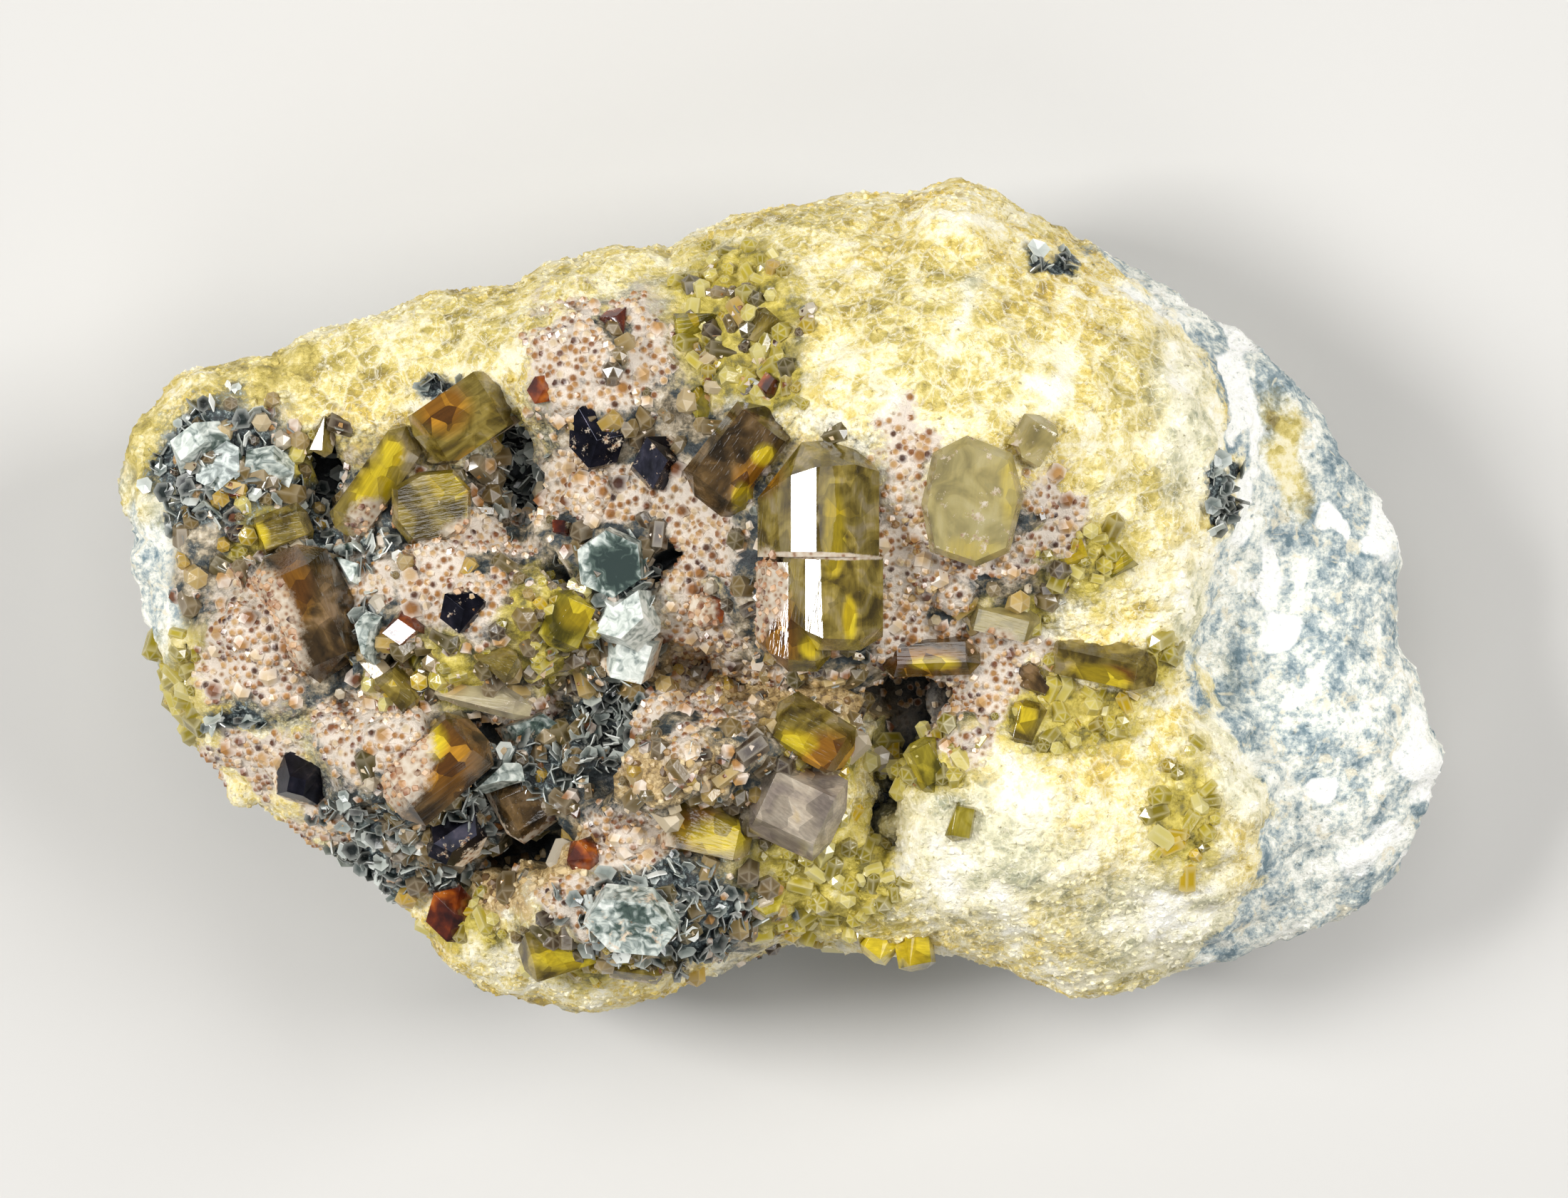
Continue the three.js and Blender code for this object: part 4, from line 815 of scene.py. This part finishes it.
def rock_surface_tree():
    """Raises the rock over the crystals' roots, gives it lumps and grit, and sinks its hollows deeper."""
    tree, add, given = geometry_tree(
        "rock_surface",
        {"Raise": "NodeSocketFloat", "Lump Size": "NodeSocketFloat", "Lump Height": "NodeSocketFloat",
         "Grit Size": "NodeSocketFloat", "Grit Height": "NodeSocketFloat", "Crowd Gain": "NodeSocketFloat",
         "Hollow Depth": "NodeSocketFloat", "Material": "NodeSocketMaterial"},
    )
    place = add("GeometryNodeInputPosition")
    normal = add("GeometryNodeInputNormal")
    lump_scale = add("ShaderNodeMath", {0: 1.0, 1: given["Lump Size"]}, operation="DIVIDE")
    grit_scale = add("ShaderNodeMath", {0: 1.0, 1: given["Grit Size"]}, operation="DIVIDE")
    lumps = add("ShaderNodeTexVoronoi", {"Vector": place, "Scale": lump_scale}, feature="SMOOTH_F1")
    swell = add(
        "ShaderNodeTexNoise", {"Vector": place, "Scale": lump_scale, "Detail": 3.0, "Roughness": 0.6},
    )
    grit = add("ShaderNodeTexNoise", {"Vector": place, "Scale": grit_scale, "Detail": 3.0, "Roughness": 0.7})
    domed = add("ShaderNodeMath", {0: 0.6, 1: lumps.outputs["Distance"]}, operation="SUBTRACT")
    uneven = add("ShaderNodeMath", {0: domed, 1: swell.outputs["Fac"]}, operation="ADD")
    uneven = add("ShaderNodeMath", {0: uneven, 1: -0.5}, operation="ADD")
    gritty = add("ShaderNodeMath", {0: grit.outputs["Fac"], 1: -0.5}, operation="ADD")
    crowd, hollow = (
        add("GeometryNodeInputNamedAttribute", {"Name": name}, data_type="FLOAT").outputs["Attribute"]
        for name in ("crowd", "hollow")
    )
    gain = add("ShaderNodeMath", {0: crowd, 1: given["Crowd Gain"], 2: 1.0}, operation="MULTIPLY_ADD")
    swelling = add("ShaderNodeMath", {0: gain, 1: given["Lump Height"]}, operation="MULTIPLY")
    height = add("ShaderNodeMath", {0: uneven, 1: swelling, 2: given["Raise"]}, operation="MULTIPLY_ADD")
    sunken = add("ShaderNodeMapRange", {"Value": hollow, "From Min": 0.2, "From Max": 0.9})
    depth = add("ShaderNodeMath", {0: sunken, 1: given["Hollow Depth"]}, operation="MULTIPLY")
    height = add("ShaderNodeMath", {0: height, 1: depth}, operation="SUBTRACT")
    height = add("ShaderNodeMath", {0: gritty, 1: given["Grit Height"], 2: height}, operation="MULTIPLY_ADD")
    # The resting face stays flat.
    level = add("ShaderNodeSeparateXYZ", {"Vector": place}).outputs["Z"]
    lifted = add("ShaderNodeMapRange", {"Value": level, "From Min": 0.5 * MM, "From Max": 2.0 * MM})
    height = add("ShaderNodeMath", {0: height, 1: lifted}, operation="MULTIPLY")
    offset = add("ShaderNodeVectorMath", {0: normal, "Scale": height}, operation="SCALE")
    moved = add("GeometryNodeSetPosition", {"Geometry": given["Geometry"], "Offset": offset})
    real = add("GeometryNodeRealizeInstances", {"Geometry": moved})
    dressed = add("GeometryNodeSetMaterial", {"Geometry": real, "Material": given["Material"]})
    add("NodeGroupOutput", {"Geometry": dressed})
    return tree


def scatter_tree():
    """Strews grains over the rock where a mask is strong, each with its own size, turn and tint."""
    tree, add, given = geometry_tree(
        SCATTER,
        {"Grain": "NodeSocketObject", "Mask": "NodeSocketString", "Spacing": "NodeSocketFloat",
         "Density": "NodeSocketFloat", "Smallest": "NodeSocketFloat", "Largest": "NodeSocketFloat",
         "Sink": "NodeSocketFloat", "Upright": "NodeSocketFloat", "Seed": "NodeSocketInt",
         "Material": "NodeSocketMaterial"},
    )
    mask = add("GeometryNodeInputNamedAttribute", {"Name": given["Mask"]}, data_type="FLOAT")
    wanted = add("ShaderNodeMapRange", {"Value": mask, "From Min": 0.35, "From Max": 0.75})
    points = add(
        "GeometryNodeDistributePointsOnFaces",
        {"Mesh": given["Geometry"], "Distance Min": given["Spacing"], "Density Max": given["Density"],
         "Density Factor": wanted, "Seed": given["Seed"]}, distribute_method="POISSON",
    )
    any_turn = add(
        "FunctionNodeRandomValue",
        {"Min": (-math.pi, -math.pi, -math.pi), "Max": (math.pi, math.pi, math.pi), "Seed": given["Seed"]},
        data_type="FLOAT_VECTOR",
    )
    free = add("FunctionNodeEulerToRotation", {"Euler": any_turn})
    turn = add(
        "FunctionNodeAlignRotationToVector",
        {"Rotation": free, "Factor": given["Upright"], "Vector": points.outputs["Normal"]}, axis="Z",
    )
    size = add(
        "FunctionNodeRandomValue",
        {"Min": given["Smallest"], "Max": given["Largest"], "Seed": given["Seed"]}, data_type="FLOAT",
    )
    tint = add("FunctionNodeRandomValue", {"Min": 0.0, "Max": 1.0, "Seed": TINT_SEED}, data_type="FLOAT")
    marked = add(
        "GeometryNodeStoreNamedAttribute",
        {"Geometry": points.outputs["Points"], "Name": "tint", "Value": tint}, data_type="FLOAT",
        domain="POINT",
    )
    down = add("ShaderNodeMath", {0: size, 1: given["Sink"]}, operation="MULTIPLY")
    down = add("ShaderNodeMath", {0: down, 1: -1.0}, operation="MULTIPLY")
    sunk = add("ShaderNodeVectorMath", {0: points.outputs["Normal"], "Scale": down}, operation="SCALE")
    marked = add("GeometryNodeSetPosition", {"Geometry": marked, "Offset": sunk})
    shape = add("GeometryNodeObjectInfo", {"Object": given["Grain"]}).outputs["Geometry"]
    grains = add(
        "GeometryNodeInstanceOnPoints",
        {"Points": marked, "Instance": shape, "Rotation": turn, "Scale": size},
    )
    real = add("GeometryNodeRealizeInstances", {"Geometry": grains})
    dressed = add("GeometryNodeSetMaterial", {"Geometry": real, "Material": given["Material"]})
    add("NodeGroupOutput", {"Geometry": dressed})
    return tree


def poked_hull(corners):
    """The hull of some corners, each face with a middle point. Gives the bmesh and the middle points."""
    shape = bmesh.new()
    bmesh.ops.convex_hull(shape, input=[shape.verts.new(corner) for corner in corners])
    bmesh.ops.dissolve_limit(shape, angle_limit=0.02, verts=shape.verts, edges=shape.edges)
    return shape, set(bmesh.ops.poke(shape, faces=shape.faces[:])["verts"])


def garnet_grain():
    """A rhombic dodecahedron about 1 m across, marked for a highlight painted pale round the sides and none
    on top.
    """
    corners = [(0.28 * sx, 0.28 * sy, 0.28 * sz) for sx in (-1, 1) for sy in (-1, 1) for sz in (-1, 1)]
    corners += [(0.56 * side, 0, 0) for side in (1, -1)]
    corners += [(0, 0.56 * side, 0) for side in (1, -1)]
    corners += [(0, 0, 0.56 * side) for side in (1, -1)]
    shape, _ = poked_hull(corners)
    return finish_grain(shape, "garnet_grain", lambda vert: vert.co.xy.length / 0.5)


def prism_grain():
    """A short six-sided prism with sloping ends, a little over 1 m long."""
    ring = [(0.0, 0.34), (0.3, 0.2), (0.3, -0.18), (0.02, -0.34), (-0.28, -0.2), (-0.3, 0.16)]
    corners = [(0.45 * side, y, z) for side in (-1, 1) for y, z in ring]
    corners += [(side * 0.62, 0.04, 0.03 * side) for side in (-1, 1)]
    shape, middles = poked_hull(corners)
    return finish_grain(shape, "prism_grain", lambda vert: 0.0 if vert in middles else 1.0)


def flake_grain():
    """A thin six-sided plate 1 m across, a little dished."""
    shape = bmesh.new()
    rings = []
    for level in (-0.03, 0.03):
        ring = []
        for i in range(6):
            angle = math.radians(60 * i + (7 if i % 2 else -5))
            dish = 0.1 + 0.06 * (i % 2)
            ring.append(shape.verts.new((0.5 * math.cos(angle), 0.47 * math.sin(angle), level + dish)))
        rings.append(ring)
    middles = {shape.verts.new((0, 0, -0.03)), shape.verts.new((0, 0, 0.03))}
    low, high = sorted(middles, key=lambda vert: vert.co.z)
    for i in range(6):
        j = (i + 1) % 6
        shape.faces.new((rings[0][i], rings[0][j], rings[1][j], rings[1][i]))
        shape.faces.new((high, rings[1][i], rings[1][j]))
        shape.faces.new((low, rings[0][j], rings[0][i]))
    return finish_grain(shape, "flake_grain", lambda vert: 0.0 if vert in middles else 1.0)


def lump_grain():
    """A rounded irregular lump 1 m across."""
    shape = bmesh.new()
    bmesh.ops.create_icosphere(shape, subdivisions=1, radius=0.5)
    for vert in shape.verts:
        vert.co *= 1 + 0.35 * noise.noise(vert.co * 3)
    return finish_grain(shape, "lump_grain", lambda vert: 0.0)


def finish_grain(shape, name, rim):
    """Turns a grain's bmesh into an object whose rim attribute runs up to 1 at the edges of its faces."""
    rims = [rim(vert) for vert in shape.verts]
    bmesh.ops.recalc_face_normals(shape, faces=shape.faces)
    bmesh.ops.triangulate(shape, faces=shape.faces)
    mesh = bpy.data.meshes.new(name)
    shape.to_mesh(mesh)
    shape.free()
    set_attribute(mesh, "rim", rims)
    obj = new_object(name, mesh)
    obj.hide_render = True
    return obj


def keep_piece(name, mesh, nodes=()):
    """A finished piece: it rides on the rock's body, and the CAD nodes that it stands for are hidden."""
    if not mesh.polygons:
        raise RuntimeError(name + " has no faces")
    piece = new_object(name, mesh)
    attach(piece, BODY)
    if nodes:
        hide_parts(*nodes)
    return piece


def own_axes(points):
    """A crystal's middle and its axes, longest first, from its corners."""
    middle = points.mean(0)
    _, _, axes = np.linalg.svd(points - middle, full_matrices=False)
    return middle, axes


def divided(mesh, longest):
    """Splits a mesh's faces into triangles whose sides are no longer than about so much."""
    shape = bmesh.new()
    shape.from_mesh(mesh)
    bmesh.ops.triangulate(shape, faces=shape.faces)
    halvings = max(0, math.ceil(math.log2(max(edge.calc_length() for edge in shape.edges) / longest)))
    for _ in range(halvings):
        too_long = [edge for edge in shape.edges if edge.calc_length() > longest]
        bmesh.ops.subdivide_edges(shape, edges=too_long, cuts=1, use_single_edge=True)
        bmesh.ops.triangulate(shape, faces=[face for face in shape.faces if len(face.verts) > 3])
    shape.to_mesh(mesh)
    shape.free()


def rooted_crystal(node, settings):
    """A copy of a crystal whose root runs on into the rock, with worn edges, own coordinates and marks."""
    shape = merged_copy(node)
    before = np.array([vert.co[:] for vert in shape.verts]) / MM
    root_levels = []
    for vert in shape.verts:
        place, _, _, distance = ROCK_TREE.find_nearest(vert.co)
        if distance < settings.root_gap:
            vert.co += (place - vert.co).normalized() * settings.root_depth
            root_levels.append(place.z / MM)
    bmesh.ops.dissolve_limit(shape, angle_limit=math.radians(1.5), verts=shape.verts, edges=shape.edges)
    mesh = bpy.data.meshes.new(node)
    shape.to_mesh(mesh)
    shape.free()
    work = new_object("work_" + node, mesh)
    bevel = work.modifiers.new("worn_edges", "BEVEL")
    bevel.width = settings.edge_wear
    bevel.segments = 2
    bevel.limit_method = "ANGLE"
    bevel.angle_limit = math.radians(12)
    finished = plain_mesh(work)
    bpy.data.objects.remove(work)
    divided(finished, settings.facet * FACET_SHARE.get(node, 1.0))
    points = points_of(finished)
    middle, axes = own_axes(before)
    own = (points - middle) @ axes.T
    # The textures start at another place in each crystal.
    set_attribute(finished, "own", own + 17.0 * (hash_of(node) % 11), "FLOAT_VECTOR")
    set_attribute(finished, "dust", np.full(len(points), DUST.get(node, USUAL_DUST)))
    root = np.mean(root_levels) if root_levels else before[:, 2].min()
    set_attribute(finished, "root", np.full(len(points), root))
    set_attribute(finished, "haze", np.full(len(points), HAZE.get(node, 0.0)))
    reach = np.linalg.norm(own[:, :2], axis=1)
    set_attribute(finished, "middle", MIDDLE.get(node, USUAL_MIDDLE) * (1 - reach / reach.max()))
    paint_patches(finished, points, LIT_PATCHES)
    return finished


def hash_of(name):
    """A number that is always the same for a name."""
    return sum(ord(letter) * (i + 3) for i, letter in enumerate(name))


def strew(piece, run, ground, shape, size):
    """Strews one run of grains of a shape and a usual size over a ground, as a piece of its own."""
    finish, slot, mask, spacing, (least, most), density, sink, upright = RUNS[run]
    grain = shape()
    mesh = through_nodes(
        ground, bpy.data.node_groups.get(SCATTER) or scatter_tree(),
        {"Grain": grain, "Mask": mask, "Spacing": spacing * size, "Density": density / MM**2,
         "Smallest": least * size, "Largest": most * size, "Sink": sink, "Upright": upright, "Seed": SEED,
         "Material": grain_finish(finish)},
    )
    bpy.data.objects.remove(grain)
    return keep_piece(piece, mesh)


def grow(context, finishes):
    """Finishes the crystals whose slots are named and sets them into the rock, some with a garnet coat."""
    settings = context.scene.specimen_crystals
    size = context.scene.specimen_grains.sugar_size
    crystals = [part for part in frame["record"]["subparts"] if part["material_slot"] in finishes]
    if not crystals:
        raise RuntimeError("No crystal has any of the slots " + ", ".join(finishes))
    for crystal in crystals:
        node, slot = crystal["node"], crystal["material_slot"]
        mesh = rooted_crystal(node, settings)
        mesh.materials.clear()
        mesh.materials.append(finishes[slot])
        face = keep_piece(node + "_face", mesh, [node])
        coat = np.zeros(len(mesh.vertices), np.float32)
        mesh.attributes["coat"].data.foreach_get("value", coat)
        if coat.max() > settings.least_coat:
            strew(node + "_coat", "coat", face, garnet_grain, size)


ROCK_TREE = BVHTree.FromPolygons(
    [v.co[:] for v in frame["nodes"]["rock"].data.vertices],
    [tuple(p.vertices) for p in frame["nodes"]["rock"].data.polygons],
)


def length(name, millimetres, description):
    """A length as a property, with its default in millimetres."""
    return bpy.props.FloatProperty(
        name=name, description=description, default=millimetres * MM, unit="LENGTH"
    )


class SpecimenRockSettings(bpy.types.PropertyGroup):
    """Sizes of the rock's surface."""

    voxel: length("Facet Size", 0.25, "Size of the surface's facets")
    raise_by: length("Raise", 0.3, "How far the surface stands over the solid")
    lump_size: length("Lump Size", 1.3, "Distance between lumps")
    lump_height: length("Lump Height", 0.45, "Height of the lumps")
    grit_size: length("Grit Size", 0.5, "Distance between grains of grit")
    grit_height: length("Grit Height", 0.5, "Height of the grit")
    crowd_gain: bpy.props.FloatProperty(
        name="Crowd Gain", description="How much higher the lumps are among the crystals", default=1.2
    )
    hollow_depth: length("Hollow Depth", 1.8, "How much deeper the dark hollows go")


class SpecimenGrainSettings(bpy.types.PropertyGroup):
    """Sizes and spacing of the strewn grains."""

    sugar_size: length("Sugar Garnet", 0.42, "Usual size of a sugary garnet")
    prism_size: length("Epidote Grain", 0.9, "Usual length of a small epidote")
    flake_size: length("Chlorite Flake", 0.62, "Usual width of a small flake")
    tan_size: length("Tan Grain", 0.4, "Usual size of a tan grain")
    crumb_size: length("Crumb", 0.32, "Usual size of a crumb of the rock")


class SpecimenCrystalSettings(bpy.types.PropertyGroup):
    """Sizes that finish the crystals."""

    root_gap: length("Root Gap", 0.5, "A corner nearer to the rock than this belongs to the root")
    root_depth: length("Root Depth", 1.0, "How far a root runs on into the rock")
    edge_wear: length("Edge Wear", 0.04, "Width of the worn edges")
    least_coat: bpy.props.FloatProperty(
        name="Least Coat", description="A crystal with less of a coat than this gets none", default=0.6
    )
    facet: length("Facet Size", 0.4, "Longest side of the triangles that carry the marks")


class SpecimenStageSettings(bpy.types.PropertyGroup):
    """The camera, the floor and the lights."""

    camera_distance: bpy.props.FloatProperty(
        name="Camera Distance", description="From the camera to the lump's widest outline",
        default=0.45, unit="LENGTH",
    )
    floor_size: bpy.props.FloatProperty(
        name="Floor Size", description="Side of the floor", default=3.0, unit="LENGTH"
    )
    floor_colour: bpy.props.FloatVectorProperty(
        name="Floor Colour", description="Colour of the plain floor",
        default=linear("#C6C4C0")[:3], subtype="COLOR",
    )


class SPECIMEN_OT_rock(bpy.types.Operator):
    """Make the rock's surface over its solid"""

    bl_idname = "specimen.rock"
    bl_label = "Make Rock"

    def execute(self, context):
        settings = context.scene.specimen_rock
        shape = merged_copy("rock")
        mesh = bpy.data.meshes.new("rock_work")
        shape.to_mesh(mesh)
        shape.free()
        work = new_object("rock_work", mesh)
        remesh = work.modifiers.new("facets", "REMESH")
        remesh.mode = "VOXEL"
        remesh.voxel_size = settings.voxel
        even = plain_mesh(work)
        work.modifiers.clear()
        paint_masks(even)
        work.data = even
        surface = through_nodes(
            work, rock_surface_tree(),
            {"Raise": settings.raise_by, "Lump Size": settings.lump_size,
             "Lump Height": settings.lump_height, "Grit Size": settings.grit_size,
             "Grit Height": settings.grit_height, "Crowd Gain": settings.crowd_gain,
             "Hollow Depth": settings.hollow_depth, "Material": rock_material()},
        )
        bpy.data.objects.remove(work)
        surface.shade_smooth()
        keep_piece("rock_surface", surface, ["rock"])
        return {"FINISHED"}


class SPECIMEN_OT_small_garnets(bpy.types.Operator):
    """Strew the sugary and the loose garnets over the rock"""

    bl_idname = "specimen.small_garnets"
    bl_label = "Strew Small Garnets"

    def execute(self, context):
        ground = bpy.data.objects["rock_surface"]
        size = context.scene.specimen_grains.sugar_size
        for name in ("sugar_garnets", "sugar_garnets_large", "loose_garnets"):
            strew(name, name, ground, garnet_grain, size)
        return {"FINISHED"}


class SPECIMEN_OT_small_epidotes(bpy.types.Operator):
    """Strew the yellow grains and the dark grains over the rock"""

    bl_idname = "specimen.small_epidotes"
    bl_label = "Strew Small Epidotes"

    def execute(self, context):
        ground = bpy.data.objects["rock_surface"]
        size = context.scene.specimen_grains.prism_size
        for name in ("epidote_grains", "dark_grains"):
            strew(name, name, ground, prism_grain, size)
        return {"FINISHED"}


class SPECIMEN_OT_flakes(bpy.types.Operator):
    """Strew the flakes of chlorite over the rock"""

    bl_idname = "specimen.flakes"
    bl_label = "Strew Flakes"

    def execute(self, context):
        ground = bpy.data.objects["rock_surface"]
        size = context.scene.specimen_grains.flake_size
        for name in ("chlorite_flakes", "loose_flakes"):
            strew(name, name, ground, flake_grain, size)
        return {"FINISHED"}


class SPECIMEN_OT_crumbs(bpy.types.Operator):
    """Strew the tan grains and the rock's own crumbs over the rock"""

    bl_idname = "specimen.crumbs"
    bl_label = "Strew Crumbs"

    def execute(self, context):
        ground = bpy.data.objects["rock_surface"]
        settings = context.scene.specimen_grains
        strew("tan_grains", "tan_grains", ground, lump_grain, settings.tan_size)
        for name in ("crust_crumbs", "rock_crumbs"):
            strew(name, name, ground, lump_grain, settings.crumb_size)
        return {"FINISHED"}


class SPECIMEN_OT_epidotes(bpy.types.Operator):
    """Finish the epidote crystals and set them into the rock"""

    bl_idname = "specimen.epidotes"
    bl_label = "Make Epidotes"

    def execute(self, context):
        grow(context, {slot: epidote_material(*look) for slot, look in EPIDOTES.items()})
        return {"FINISHED"}


class SPECIMEN_OT_magnetites(bpy.types.Operator):
    """Finish the magnetite crystals and set them into the rock"""

    bl_idname = "specimen.magnetites"
    bl_label = "Make Magnetites"

    def execute(self, context):
        grow(context, {"magnetite": magnetite_material()})
        return {"FINISHED"}


class SPECIMEN_OT_garnets(bpy.types.Operator):
    """Finish the larger garnets and set them into the rock"""

    bl_idname = "specimen.garnets"
    bl_label = "Make Garnets"

    def execute(self, context):
        grow(context, {"garnet": garnet_material()})
        return {"FINISHED"}


class SPECIMEN_OT_chlorites(bpy.types.Operator):
    """Finish the plates and books of chlorite and set them into the rock"""

    bl_idname = "specimen.chlorites"
    bl_label = "Make Chlorites"

    def execute(self, context):
        grow(context, {"chlorite": chlorite_material()})
        return {"FINISHED"}


class SPECIMEN_OT_stage(bpy.types.Operator):
    """Set up the floor, the lights and the camera that looks straight down on the crystal face"""

    bl_idname = "specimen.stage"
    bl_label = "Set Stage"

    def execute(self, context):
        settings = context.scene.specimen_stage
        scene = context.scene
        scene.view_settings.view_transform = "Standard"
        bpy.ops.mesh.primitive_plane_add(size=settings.floor_size)
        floor = context.active_object
        floor.name = "floor"
        # Matt paper. The eye gets an even pale ground that takes a soft shadow.
        material, add = new_material("plain_paper")
        finish_surface(add, {"Base Color": (*settings.floor_colour, 1.0), "Roughness": 0.9})
        floor.data.materials.append(material)

        world = bpy.data.worlds.new("studio")
        world.use_nodes = True
        world.node_tree.nodes["Background"].inputs["Color"].default_value = linear("#F4F6FA")
        world.node_tree.nodes["Background"].inputs["Strength"].default_value = ROOM_LIGHT
        scene.world = world

        for name, (azimuth, height, distance, side, power) in LIGHTS.items():
            lamp = bpy.data.lights.new(name, "AREA")
            lamp.size = side
            lamp.energy = power
            light = bpy.data.objects.new(name, lamp)
            scene.collection.objects.link(light)
            away = Vector((
                math.cos(math.radians(azimuth)) * math.cos(math.radians(height)),
                math.sin(math.radians(azimuth)) * math.cos(math.radians(height)),
                math.sin(math.radians(height)),
            ))
            light.location = away * distance
            light.rotation_euler = away.to_track_quat("Z", "Y").to_euler()

        camera = bpy.data.cameras.new("camera")
        camera.sensor_width = 36.0
        outline_height = WIDEST_SHARE * CAD_BOX[1][2]
        view_width = PHOTO_WIDTH / PIXELS_PER_MM * MM
        camera.lens = camera.sensor_width * settings.camera_distance / view_width
        camera.clip_start = 0.01
        viewer = bpy.data.objects.new("camera", camera)
        scene.collection.objects.link(viewer)
        viewer.location = (
            (PHOTO_WIDTH / 2 - PHOTO_MIDDLE[0]) / PIXELS_PER_MM * MM,
            (PHOTO_MIDDLE[1] - PHOTO_HEIGHT / 2) / PIXELS_PER_MM * MM,
            outline_height + settings.camera_distance,
        )
        scene.camera = viewer
        return {"FINISHED"}


class SPECIMEN_PT_panel(bpy.types.Panel):
    """The specimen's steps in order"""

    bl_idname = "SPECIMEN_PT_panel"
    bl_label = "Specimen"
    bl_space_type = "VIEW_3D"
    bl_region_type = "UI"
    bl_category = "Specimen"

    def draw(self, context):
        for operator in OPERATORS:
            self.layout.operator(operator.bl_idname)
        for group in SETTINGS:
            settings = getattr(context.scene, group)
            for name in settings.bl_rna.properties.keys():
                if name not in ("rna_type", "name"):
                    self.layout.prop(settings, name)


OPERATORS = (
    SPECIMEN_OT_stage, SPECIMEN_OT_rock, SPECIMEN_OT_small_garnets, SPECIMEN_OT_small_epidotes,
    SPECIMEN_OT_flakes, SPECIMEN_OT_crumbs, SPECIMEN_OT_epidotes, SPECIMEN_OT_magnetites,
    SPECIMEN_OT_garnets, SPECIMEN_OT_chlorites,
)
SETTINGS = {
    "specimen_rock": SpecimenRockSettings,
    "specimen_grains": SpecimenGrainSettings,
    "specimen_crystals": SpecimenCrystalSettings,
    "specimen_stage": SpecimenStageSettings,
}
CLASSES = (*SETTINGS.values(), *OPERATORS, SPECIMEN_PT_panel)


def register():
    """Registers the classes and hangs the settings on the scene."""
    for item in CLASSES:
        bpy.utils.register_class(item)
    for name, group in SETTINGS.items():
        setattr(bpy.types.Scene, name, bpy.props.PointerProperty(type=group))


def unregister():
    """Takes the settings and the classes away again."""
    for name in SETTINGS:
        delattr(bpy.types.Scene, name)
    for item in reversed(CLASSES):
        bpy.utils.unregister_class(item)


def main():
    """Makes everything in order."""
    register()
    bpy.ops.specimen.stage()
    bpy.ops.specimen.rock()
    bpy.ops.specimen.small_garnets()
    bpy.ops.specimen.small_epidotes()
    bpy.ops.specimen.flakes()
    bpy.ops.specimen.crumbs()
    bpy.ops.specimen.epidotes()
    bpy.ops.specimen.magnetites()
    bpy.ops.specimen.garnets()
    bpy.ops.specimen.chlorites()


if __name__ == "__main__":
    main()
